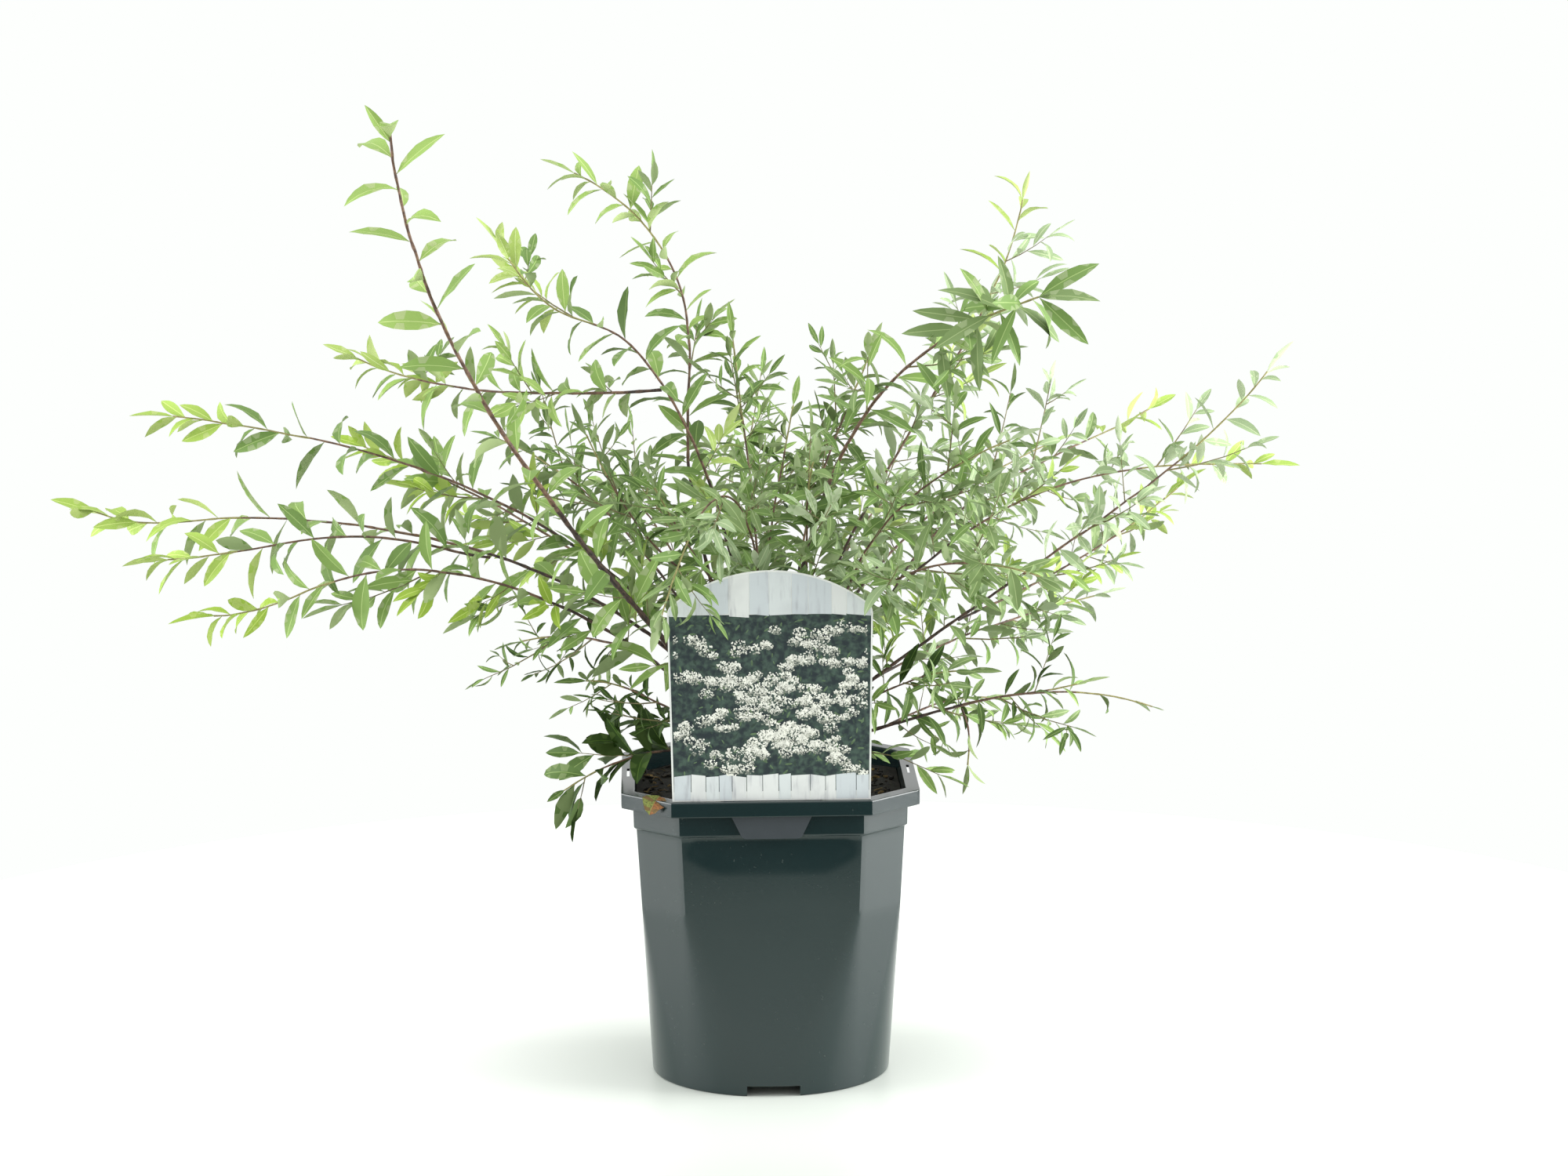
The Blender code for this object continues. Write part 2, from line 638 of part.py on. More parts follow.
def grow_leaf(owner: int, ground: Ground, root: Vector, way: Vector, spread: float, turn: float,
              roll: float, length: float) -> list:
    """Points of a leaf that keeps to its own space, turned further round its stem if it must."""
    for attempt in range(LEAF_TRIES):
        out = spun(way, spread, turn + attempt * 72.0)
        across = Matrix.Rotation(roll, 3, out) @ out.cross(way).normalized()
        points = leaf_points(root, out, across, length)
        middle = points[0].lerp(points[1], 0.75)
        if not any(in_the_way(point) for point in points + [middle]):
            if ground.keeps(owner, points[1:] + [middle], OWN_SPACE_MARGIN):
                return points
    return []


def apply_collection(thing, tools, operation: str, solver: str) -> None:
    """Join or cut an object with a collection's bodies, then remove them."""
    change = thing.modifiers.new("join", "BOOLEAN")
    change.operation = operation
    change.operand_type = "COLLECTION"
    change.collection = tools
    change.solver = solver
    bpy.context.view_layer.update()
    done = bpy.data.meshes.new_from_object(thing.evaluated_get(bpy.context.evaluated_depsgraph_get()))
    thing.modifiers.remove(change)
    old = thing.data
    thing.data = done
    bpy.data.meshes.remove(old)
    for tool in list(tools.objects):
        bpy.data.objects.remove(tool, do_unlink=True)
    bpy.data.collections.remove(tools)


def keep_largest_body(thing) -> None:
    """Drop loose scraps that a union leaves."""
    bm = bmesh.new()
    bm.from_mesh(thing.data)
    waiting = set(bm.verts)
    bodies = []
    while waiting:
        body = {waiting.pop()}
        edge = list(body)
        while edge:
            for link in edge.pop().link_edges:
                for vert in link.verts:
                    if vert in waiting:
                        waiting.discard(vert)
                        body.add(vert)
                        edge.append(vert)
        bodies.append(body)
    bodies.sort(key=len)
    for body in bodies[:-1]:
        bmesh.ops.delete(bm, geom=list(body), context="VERTS")
    bm.to_mesh(thing.data)
    bm.free()


def grow_twigs(index: int, cane: Cane, run: Run, ground: Ground) -> list:
    """Twigs of one mass that stay nearer to their own cane than to any other."""
    rng = random.Random(SEED * 100 + index)
    start = stem_start(cane, run)
    room = stem_end(cane, run) - start
    twigs = []
    for i in range(cane.twigs):
        share = start + room * (0.18 + 0.62 * (i + rng.uniform(0.2, 0.8)) / max(cane.twigs, 1))
        length = cane.twig * rng.uniform(0.75, 1.15)
        for attempt in range(6):
            turn = i * GOLDEN_ANGLE + rng.uniform(-25.0, 25.0) + attempt * 60.0
            points = twig_points(run.at(share), spun(run.way(share), TWIG_SPREAD, turn), length)
            clear = not any(in_the_way(point) for point in points[1:])
            if clear and ground.keeps(index, points[1:], TWIG_MARGIN):
                twigs.append(points)
                break
    return twigs


def build_mass(index: int, cane: Cane, run: Run, twigs: list, ground: Ground):
    """One mass: leafy stem, its twigs and their leaves, joined into one body."""
    rng = random.Random(SEED * 1000 + index)
    start = stem_start(cane, run)
    end = stem_end(cane, run)
    shares = [start + (end - start) * i / (STEM_RINGS - 1) for i in range(STEM_RINGS)]
    body = tube([run.at(share) for share in shares], [limb_radius(cane, share) for share in shares], 3)
    mass = add_object(cane.name + "_mass", body, foliage())
    parts = bpy.data.collections.new(cane.name + "_parts")
    bpy.context.scene.collection.children.link(parts)

    def put(bm) -> None:
        """Add one twig or leaf to the bodies to be joined."""
        part = add_object("part", bm, foliage())
        bpy.context.scene.collection.objects.unlink(part)
        parts.objects.link(part)

    first_leaf = FIRST_LEAF if cane.bare else FIRST_LEAF_FROM_HEAD
    places = []
    turn = rng.uniform(0.0, 360.0)
    count = int((end - start) * (1.0 - first_leaf) * run.length / LEAF_SPACING)
    for i in range(count):
        along = first_leaf + (1.0 - first_leaf) * (i + 0.5) / count
        share = start + (end - start) * along
        spread = LEAF_TAKE_OFF + (LEAF_TIP_TAKE_OFF - LEAF_TAKE_OFF) * along ** 3
        places.append((run.at(share), run.way(share), spread, cane.leaf * (1.0 - 0.35 * along ** 4)))
    for points in twigs:
        radii = [TWIG_RADIUS * (1.0 - 0.2 * i) for i in range(len(points))]
        put(tube(points, radii, 3))
        legs = [(points[i], points[i + 1]) for i in range(len(points) - 1)]
        for i, (low, high) in enumerate(legs[1:]):
            places.append((low.lerp(high, 0.3 + 0.4 * i), (high - low).normalized(), 48.0 - 10.0 * i, cane.leaf))
        way = (points[-1] - points[-2]).normalized()
        tip = leaf_points(points[-1] - way * TIP_LEAF_SINK, way, way.cross(side_of(way)), cane.leaf * 0.8)
        if ground.keeps(index, tip[1:], OWN_SPACE_MARGIN):
            put(leaf_body(tip))
    leaves = 0
    for root, way, spread, length in places:
        turn += GOLDEN_ANGLE
        size = length * rng.uniform(0.88, 1.12)
        roll = math.radians(rng.uniform(-LEAF_ROLL, LEAF_ROLL))
        points = grow_leaf(index, ground, root, way, spread + rng.uniform(-6.0, 6.0), turn, roll, size)
        if points:
            put(leaf_body(points))
            leaves += 1
    last_way = run.way(end)
    upright = last_way.cross(side_of(last_way))
    last = leaf_points(run.at(end) - last_way * TIP_LEAF_SINK, last_way, upright,
                       TIP_LEAF_SHARE * cane.leaf + TIP_LEAF_SINK)
    put(leaf_body(last))
    apply_collection(mass, parts, "UNION", "MANIFOLD")
    keep_largest_body(mass)
    mass.data.materials.clear()
    mass.data.materials.append(foliage())
    return leaves + 1


def build_shrub() -> None:
    """Boughs and masses of every cane."""
    runs = {}
    for cane in CANES:
        runs[cane.name] = cane_run(cane, runs)
    ground = Ground()
    for index, cane in enumerate(CANES):
        run = runs[cane.name]
        ground.add(index, [run.at(i / SAMPLES) for i in range(SAMPLES + 1)])
    all_twigs = [grow_twigs(index, cane, runs[cane.name], ground) for index, cane in enumerate(CANES)]
    for index, twigs in enumerate(all_twigs):
        for points in twigs:
            ground.add(index, [low.lerp(high, k / 3.0) for low, high in zip(points, points[1:]) for k in range(4)])
    for index, cane in enumerate(CANES):
        run = runs[cane.name]
        if cane.bare:
            build_bough(cane, run)
        build_mass(index, cane, run, all_twigs[index], ground)


def main() -> None:
    """Build the pot and everything in it."""
    clear_scene()
    build_pot()
    build_potting_mix()
    build_label()
    build_short_stem()
    build_shrub()


main()
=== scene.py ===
"""Looks of a potted spirea shrub: moulded pot, bark-strewn mix, printed label, canes and leaves.

Metres, +Z up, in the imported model's own frame: the origin is the middle of the pot's flat
underside, the label stands at the front, which is -Y, and +X is on its right.
"""

import json
import logging
from dataclasses import dataclass, field
from enum import Enum
from math import atan2, copysign, cos, degrees, dist, hypot, log, pi, radians, sin, sqrt, tan, tau
from random import Random
from typing import Any, Sequence

import bmesh
import bpy
import numpy as np
from bmesh.types import BMesh, BMVert
from bpy.types import Material, Mesh, Node, NodeSocket, Object
from mathutils import Matrix, Vector, noise

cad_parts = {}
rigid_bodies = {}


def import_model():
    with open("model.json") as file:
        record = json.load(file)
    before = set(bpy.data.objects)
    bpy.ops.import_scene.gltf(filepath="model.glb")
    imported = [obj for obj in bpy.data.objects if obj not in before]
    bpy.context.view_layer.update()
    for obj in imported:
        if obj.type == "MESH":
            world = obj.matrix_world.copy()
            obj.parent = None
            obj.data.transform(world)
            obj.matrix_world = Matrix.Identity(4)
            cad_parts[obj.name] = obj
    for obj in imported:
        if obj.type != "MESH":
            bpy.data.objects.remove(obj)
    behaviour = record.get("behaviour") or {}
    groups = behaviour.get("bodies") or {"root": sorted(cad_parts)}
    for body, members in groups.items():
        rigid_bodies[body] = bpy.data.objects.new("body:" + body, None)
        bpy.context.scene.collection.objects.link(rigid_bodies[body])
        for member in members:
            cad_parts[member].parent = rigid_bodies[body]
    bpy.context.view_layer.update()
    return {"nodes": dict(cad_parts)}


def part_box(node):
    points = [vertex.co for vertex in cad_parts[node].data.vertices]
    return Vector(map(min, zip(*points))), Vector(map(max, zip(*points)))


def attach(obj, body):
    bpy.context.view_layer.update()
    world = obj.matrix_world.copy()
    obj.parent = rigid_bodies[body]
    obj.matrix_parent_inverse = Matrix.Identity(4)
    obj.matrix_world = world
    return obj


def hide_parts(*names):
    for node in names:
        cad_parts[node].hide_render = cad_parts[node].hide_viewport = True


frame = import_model()

notes = logging.getLogger("spirea")

BODY = "root"
SEED = 5
SHARP = 32.0
LEAF_SHARP = 70.0
UP = Vector((0.0, 0.0, 1.0))


class Slot(Enum):
    """Material slots of the record that pieces take their finish from."""

    POT = "pot_plastic"
    MIX = "potting_mix"
    LABEL = "label"
    BARK = "bark"
    LEAF = "foliage"


def paint(red: float, green: float, blue: float) -> tuple[float, float, float]:
    """Turn a display colour, 0 to 255, into the linear values that a shader takes.

    Args:
        red: Red as it shows.
        green: Green as it shows.
        blue: Blue as it shows.

    Returns:
        The three linear values.
    """
    shown = (red / 255.0, green / 255.0, blue / 255.0)
    return tuple(v / 12.92 if v <= 0.04045 else ((v + 0.055) / 1.055) ** 2.4 for v in shown)


class Wire:
    """A socket of a node tree on which sums can be written."""

    def __init__(self, graph: "Graph", socket: NodeSocket) -> None:
        """Keep the tree and the socket."""
        self.graph = graph
        self.socket = socket

    def _sum(self, operation: str, first: Any, second: Any) -> "Wire":
        """Add one Math node and return its result."""
        return self.graph.wire("ShaderNodeMath", {"operation": operation}, {0: first, 1: second})

    def __add__(self, other: Any) -> "Wire":
        """Sum."""
        return self._sum("ADD", self, other)

    def __sub__(self, other: Any) -> "Wire":
        """Difference."""
        return self._sum("SUBTRACT", self, other)

    def __rsub__(self, other: Any) -> "Wire":
        """Difference, with the number first."""
        return self._sum("SUBTRACT", other, self)

    def __mul__(self, other: Any) -> "Wire":
        """Product."""
        return self._sum("MULTIPLY", self, other)

    __radd__ = __add__
    __rmul__ = __mul__


class Graph:
    """The node tree of one finish, around its Principled shader."""

    def __init__(self, name: str) -> None:
        """Start a material with a lone Principled shader.

        Args:
            name: The material's name.
        """
        self.material = bpy.data.materials.new(name)
        self.material.use_nodes = True
        self.tree = self.material.node_tree
        self.shader = self.tree.nodes["Principled BSDF"]

    def feed(self, socket: NodeSocket, value: Any) -> None:
        """Link a socket to a wire, or set it to a value.

        Args:
            socket: The socket.
            value: A wire, a number, a vector, or a colour without its alpha.
        """
        if isinstance(value, Wire):
            self.tree.links.new(value.socket, socket)
        elif isinstance(value, tuple) and len(value) == 3 and socket.type == "RGBA":
            socket.default_value = (*value, 1.0)
        else:
            socket.default_value = value

    def node(self, kind: str, settings: dict | None = None, sockets: dict | None = None) -> Node:
        """Add a node.

        Args:
            kind: The node's type.
            settings: Its own properties, set first.
            sockets: Values or wires by the name or number of the input.

        Returns:
            The node.
        """
        made = self.tree.nodes.new(kind)
        for name, value in (settings or {}).items():
            setattr(made, name, value)
        for key, value in (sockets or {}).items():
            self.feed(made.inputs[key], value)
        return made

    def wire(self, kind: str, settings: dict | None, sockets: dict, output: int | str = 0) -> Wire:
        """Add a node and wrap one of its outputs."""
        return Wire(self, self.node(kind, settings, sockets).outputs[output])

    def place(self, scale: tuple[float, float, float] = (1.0, 1.0, 1.0)) -> Wire:
        """Object coordinates, stretched by a scale."""
        sockets = {"Vector": self.wire("ShaderNodeTexCoord", None, {}, "Object"), "Scale": scale}
        return self.wire("ShaderNodeMapping", None, sockets, "Vector")

    def speckle(self, scale: float, detail: float = 3.0, stretch: tuple = (1.0, 1.0, 1.0)) -> Wire:
        """Noise between 0 and 1 over the object."""
        sockets = {"Vector": self.place(stretch), "Scale": scale, "Detail": detail}
        return self.wire("ShaderNodeTexNoise", None, sockets)

    def ramp(self, mask: Wire, low: float, high: float) -> Wire:
        """Stretch the part of a mask between two values to 0 and 1."""
        sockets = {"Value": mask, "From Min": low, "From Max": high}
        return self.wire("ShaderNodeMapRange", {"clamp": True, "interpolation_type": "SMOOTHSTEP"}, sockets)

    def blend(self, mask: Any, first: Any, second: Any) -> Wire:
        """Mix two colours by a mask."""
        return self.wire("ShaderNodeMix", {"data_type": "RGBA"}, {0: mask, 6: first, 7: second}, 2)

    def relief(self, height: Wire, strength: float, distance: float) -> None:
        """Feed the shader's normal from a height."""
        sockets = {"Height": height, "Strength": strength, "Distance": distance}
        self.set(Normal=self.wire("ShaderNodeBump", None, sockets, "Normal"))

    def set(self, **values: Any) -> Material:
        """Set or link the shader's inputs.

        Args:
            values: Values or wires by the inputs' names, with underscores for spaces.

        Returns:
            The material.
        """
        for name, value in values.items():
            self.feed(self.shader.inputs[name.replace("_", " ")], value)
        return self.material


@dataclass(frozen=True)
class PotPlastic:
    """Dark green-grey glossy polypropylene with faint flow marks and dust."""

    colour: tuple = paint(15, 33, 34)
    dust: tuple = paint(96, 104, 96)
    dusty: float = 0.22
    flow_lift: float = 1.5
    gloss: float = 0.13

    def make(self) -> Material:
        """Mix the material.

        Returns:
            The material.
        """
        graph = Graph("pot_plastic_moulded")
        flow = graph.speckle(9.0, 4.0, (1.0, 1.0, 0.12))
        cloud = graph.speckle(28.0, 5.0)
        specks = graph.ramp(graph.speckle(520.0, 2.0), 0.68, 0.76) * graph.ramp(cloud, 0.44, 0.62)
        body = graph.blend(flow * 0.6, self.colour, tuple(c * self.flow_lift for c in self.colour))
        graph.relief(graph.speckle(900.0, 2.0), 0.06, 0.0004)
        return graph.set(Base_Color=graph.blend(specks * self.dusty, body, self.dust), IOR=1.56,
                         Roughness=self.gloss + 0.12 * cloud + 0.2 * specks)


@dataclass(frozen=True)
class Earth:
    """Moist peat, dark with brown crumbs."""

    dark: tuple = paint(19, 16, 11)
    brown: tuple = paint(44, 37, 24)

    def make(self) -> Material:
        """Mix the material.

        Returns:
            The material.
        """
        graph = Graph("peat_moist")
        crumbs = graph.ramp(graph.speckle(420.0, 6.0), 0.46, 0.74)
        graph.relief(graph.speckle(650.0, 6.0), 0.9, 0.0012)
        return graph.set(Base_Color=graph.blend(crumbs, self.dark, self.brown), Roughness=0.92)


@dataclass(frozen=True)
class Chip:
    """Bark chips of one tint."""

    name: str
    colour: tuple
    furrow: float = 0.4

    def make(self) -> Material:
        """Mix the material.

        Returns:
            The material.
        """
        graph = Graph(self.name)
        fibres = graph.ramp(graph.speckle(760.0, 4.0, (1.0, 1.0, 0.5)), 0.38, 0.66)
        graph.relief(fibres, 0.5, 0.0004)
        body = graph.blend(fibres, tuple(c * self.furrow for c in self.colour), self.colour)
        return graph.set(Base_Color=body, Roughness=0.78 + 0.16 * fibres)


@dataclass(frozen=True)
class Print:
    """Ink of the label or a thin dry skin, unevenly laid."""

    name: str
    colour: tuple
    roughness: float = 0.45
    worn: float = 0.72
    grain: float = 420.0

    def make(self) -> Material:
        """Mix the material.

        Returns:
            The material.
        """
        graph = Graph(self.name)
        cloud = graph.ramp(graph.speckle(self.grain, 3.0), 0.34, 0.62)
        body = graph.blend(cloud, tuple(c * self.worn for c in self.colour), self.colour)
        return graph.set(Base_Color=body, Roughness=self.roughness + 0.1 * cloud)


@dataclass(frozen=True)
class TonguePlastic:
    """Unprinted grey back of the card, faintly clouded."""

    colour: tuple = paint(40, 48, 52)
    cloud: tuple = paint(50, 56, 62)

    def make(self) -> Material:
        """Return the material."""
        graph = Graph("tongue_grey")
        return graph.set(Base_Color=graph.blend(graph.speckle(70.0), self.colour, self.cloud), Roughness=0.5)


@dataclass(frozen=True)
class PaintedBoards:
    """Pale boards printed on the label, with a worn grain that runs up and down."""

    name: str
    pale: tuple
    worn: tuple = paint(150, 152, 158)

    def make(self) -> Material:
        """Mix the material.

        Returns:
            The material.
        """
        graph = Graph(self.name)
        grain = graph.ramp(graph.speckle(260.0, 5.0, (1.0, 1.0, 0.16)), 0.52, 0.78)
        stain = graph.ramp(graph.speckle(60.0), 0.45, 0.75)
        body = graph.blend(grain * 0.7 + stain * 0.2, self.pale, self.worn)
        return graph.set(Base_Color=body, Roughness=0.45)


@dataclass(frozen=True)
class Bark:
    """Bark of one age, with fine lengthwise cracks and pale pores."""

    name: str
    dark: tuple
    light: tuple
    pore: tuple = paint(150, 120, 100)

    def make(self) -> Material:
        """Mix the material.

        Returns:
            The material.
        """
        graph = Graph(self.name)
        streaks = graph.speckle(340.0, 5.0)
        pores = graph.ramp(graph.speckle(900.0, 1.0), 0.72, 0.80)
        body = graph.blend(graph.ramp(streaks, 0.35, 0.68), self.dark, self.light)
        graph.relief(streaks + pores * 0.6, 0.5, 0.0006)
        return graph.set(Base_Color=graph.blend(pores * 0.6, body, self.pore), Roughness=0.62)


@dataclass(frozen=True)
class LeafFinish:
    """One tint of leaf: its upper face, its paler underside and its rib."""

    name: str
    upper: tuple
    under: tuple
    rib: tuple
    roughness: float = 0.52
    under_roughness: float = 0.72
    sheen: float = 0.22

    def make(self) -> list[Material]:
        """Mix the plain materials of the leaf's parts.

        Returns:
            The materials of the upper face, the underside and the rib.
        """
        parts = (("upper", self.upper, self.roughness), ("under", self.under, self.under_roughness),
                 ("rib", self.rib, self.roughness))
        return [Graph(f"{self.name}_{part}").set(Base_Color=colour, Roughness=rough,
                                                 Specular_IOR_Level=self.sheen)
                for part, colour, rough in parts]


class Tint(Enum):
    """Leaf tints, dealt out by spray; some are darker copies that paint shade and some paler copies that
    paint light.
    """

    # Painted shade: the darkest green, a shaded copy for leaves low in the crown and near its middle.
    SHADED_DEEP = LeafFinish("leaf_deep_painted_shade", paint(44, 68, 20), paint(68, 90, 40), paint(80, 106, 44))
    # Painted shade in part: a darker copy of the mid green for leaves low down and near the axis, also dealt
    # out as a base tint.
    SHADE = LeafFinish("leaf_shade", paint(78, 104, 49), paint(110, 128, 82), paint(118, 141, 80))
    MID = LeafFinish("leaf_mid", paint(104, 133, 69), paint(134, 152, 106), paint(146, 170, 104))
    CLEAR = LeafFinish("leaf_clear", paint(122, 151, 79), paint(146, 163, 114), paint(162, 186, 116))
    GREY = LeafFinish("leaf_grey", paint(113, 136, 84), paint(141, 158, 114), paint(150, 169, 115))
    # Painted light: a pale, hazy copy of the grey green, for leaves high up and on the front and outer right
    # canes.
    LIT_GREY = LeafFinish("leaf_grey_painted_light", paint(146, 167, 125), paint(170, 184, 150), paint(181, 196, 154))
    # Painted light: a paler copy of the clear green, for leaves high up and on the upper left canes.
    BRIGHT = LeafFinish("leaf_clear_painted_light", paint(142, 171, 91), paint(162, 179, 122), paint(179, 198, 128))
    FRESH = LeafFinish("leaf_fresh", paint(148, 175, 81), paint(164, 182, 108), paint(181, 200, 116))
    LIME = LeafFinish("leaf_lime", paint(140, 168, 62), paint(156, 177, 92), paint(174, 195, 100))
    TIP = LeafFinish("leaf_tip", paint(160, 183, 98), paint(173, 190, 122), paint(189, 205, 140))


def add_piece(name: str, mesh: Mesh, finishes: Sequence[Material], slot: Slot,
              stands_for: Sequence[str] = ()) -> Object:
    """Put a finished mesh into the scene as a piece of the object.

    Args:
        name: The piece's name.
        mesh: Its mesh, with its place in it.
        finishes: The materials of its slots.
        slot: The record's slot that it takes its finish from.
        stands_for: The nodes that it replaces.

    Returns:
        The piece.
    """
    mesh.name = name
    for finish in finishes:
        mesh.materials.append(finish)
    piece = bpy.data.objects.new(name, mesh)
    bpy.context.scene.collection.objects.link(piece)
    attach(piece, BODY)
    if stands_for:
        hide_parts(*stands_for)
    notes.info("%s: %d faces, %s", name, len(mesh.polygons), slot.value)
    return piece


def mesh_of(bm: BMesh, name: str, sharp: float = SHARP) -> Mesh:
    """Turn a bmesh into a smooth-shaded mesh whose steep edges stay sharp.

    Args:
        bm: The bmesh, which is freed.
        name: The mesh's name.
        sharp: The angle in degrees past which an edge stays sharp.

    Returns:
        The mesh.
    """
    mesh = bpy.data.meshes.new(name)
    bm.to_mesh(mesh)
    bm.free()
    mesh.shade_smooth()
    mesh.set_sharp_from_angle(angle=radians(sharp))
    return mesh


def block(size: tuple, centre: tuple) -> BMesh:
    """Return a bmesh of a block of a size round a centre."""
    bm = bmesh.new()
    bmesh.ops.create_cube(bm, size=1.0, matrix=Matrix.LocRotScale(Vector(centre), None, Vector(size)))
    return bm


def turned(points: Sequence[tuple[float, float]], sides: int, close: float = 1e-6) -> BMesh:
    """Turn a section about the upright axis.

    Args:
        points: Reach and height of each corner.
        sides: How many steps the turn has.
        close: The distance within which points are merged.

    Returns:
        The turned body.
    """
    bm = bmesh.new()
    verts = [bm.verts.new((reach, 0.0, height)) for reach, height in points]
    edges = [bm.edges.new(pair) for pair in zip(verts, verts[1:])]
    bmesh.ops.spin(bm, geom=verts + edges, cent=(0.0, 0.0, 0.0), axis=UP, angle=tau, steps=sides,
                   use_merge=True)
    bmesh.ops.remove_doubles(bm, verts=bm.verts, dist=close)
    bmesh.ops.recalc_face_normals(bm, faces=bm.faces)
    return bm


def pour(bm: BMesh, heap: BMesh) -> None:
    """Add a shape to a heap.

    Args:
        bm: The shape, which is freed.
        heap: The heap.
    """
    spare = bpy.data.meshes.new("spare")
    bm.to_mesh(spare)
    bm.free()
    heap.from_mesh(spare)
    bpy.data.meshes.remove(spare)


def carve(mesh: Mesh, tools: Sequence[BMesh]) -> Mesh:
    """Cut bodies out of a mesh.

    Args:
        mesh: The mesh to cut.
        tools: The bodies that are taken away, which are freed.

    Returns:
        The cut mesh.
    """
    scene = bpy.context.scene.collection
    thing = bpy.data.objects.new("carved", mesh)
    scene.objects.link(thing)
    shelf = bpy.data.collections.new("cutters")
    scene.children.link(shelf)
    for i, bm in enumerate(tools):
        tool_mesh = bpy.data.meshes.new(f"cutter_{i}")
        bmesh.ops.recalc_face_normals(bm, faces=bm.faces)
        bm.to_mesh(tool_mesh)
        bm.free()
        shelf.objects.link(bpy.data.objects.new(f"cutter_{i}", tool_mesh))
    change = thing.modifiers.new("cut", "BOOLEAN")
    change.operation = "DIFFERENCE"
    change.operand_type = "COLLECTION"
    change.collection = shelf
    change.solver = "EXACT"
    bpy.context.view_layer.update()
    cut = bpy.data.meshes.new_from_object(thing.evaluated_get(bpy.context.evaluated_depsgraph_get()))
    for tool in list(shelf.objects):
        bpy.data.objects.remove(tool, do_unlink=True)
    bpy.data.collections.remove(shelf)
    bpy.data.objects.remove(thing, do_unlink=True)
    return cut


def nodes_ending(ending: str) -> list[str]:
    """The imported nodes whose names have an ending."""
    return [name for name in frame["nodes"] if name.endswith(ending)]


class MeshHeap:
    """Many small shapes of one outline, gathered as arrays and joined into one mesh."""

    def __init__(self, faces: Sequence[Sequence[int]], marks: Sequence[int] | None = None) -> None:
        """Start an empty heap.

        Args:
            faces: The faces of one shape.
            marks: The material slot of each face, the first if not given.
        """
        self.faces = faces
        self.marks = list(marks) if marks is not None else [0] * len(faces)
        self.points: list[np.ndarray] = []

    def add(self, points: np.ndarray) -> None:
        """Add one shape, or an array of shapes, by its points."""
        self.points.append(points.reshape(-1, points.shape[-2], 3))

    def mesh(self, name: str, sharp: float = 50.0) -> Mesh:
        """Return the joined mesh.

        Args:
            name: The mesh's name.
            sharp: The angle in degrees past which an edge stays sharp.

        Returns:
            The mesh.
        """
        shapes = np.concatenate(self.points)
        count, size, _ = shapes.shape
        faces = [tuple(corner + i * size for corner in face) for i in range(count) for face in self.faces]
        mesh = bpy.data.meshes.new(name)
        mesh.from_pydata(shapes.reshape(-1, 3).tolist(), [], faces)
        mesh.polygons.foreach_set("material_index", self.marks * count)
        mesh.shade_smooth()
        mesh.set_sharp_from_angle(angle=radians(sharp))
        mesh.update()
        return mesh


@dataclass
class Outline:
    """Plan of the pot: a square with cut corners that turns into a circle towards the foot."""

    corner_reach: float = 1.1798
    edge_radius: float = 0.035

    def factor(self, angle: float, share: float = 1.0) -> float:
        """Distance from the axis at an angle, for a half width of 1.

        Args:
            angle: The direction from the axis.
            share: 0 for the foot's circle, 1 for the full facets with their slightly soft edges.

        Returns:
            The distance.
        """
        radius = 1.0 + (self.edge_radius - 1.0) * share
        cut = 1.0 + (self.corner_reach - 1.0) * share
        quarter = pi / 4.0
        wide = angle - 2.0 * quarter * round(angle / (2.0 * quarter))
        narrow = wide - copysign(quarter, wide)
        on_wide = cos(narrow) < cut * cos(wide)
        off, own, other = (wide, 1.0, cut) if on_wide else (narrow, cut, 1.0)
        own_inner, other_inner = own - radius, other - radius
        flat = (other_inner - own_inner * cos(quarter)) / sin(quarter)
        along = own * tan(off)
        if abs(along) <= flat:
            return own / cos(off)
        spot = Vector((own_inner, copysign(flat, off)))
        lean = spot.dot(Vector((cos(off), sin(off))))
        return lean + sqrt(max(radius ** 2 - spot.length_squared + lean ** 2, 0.0))


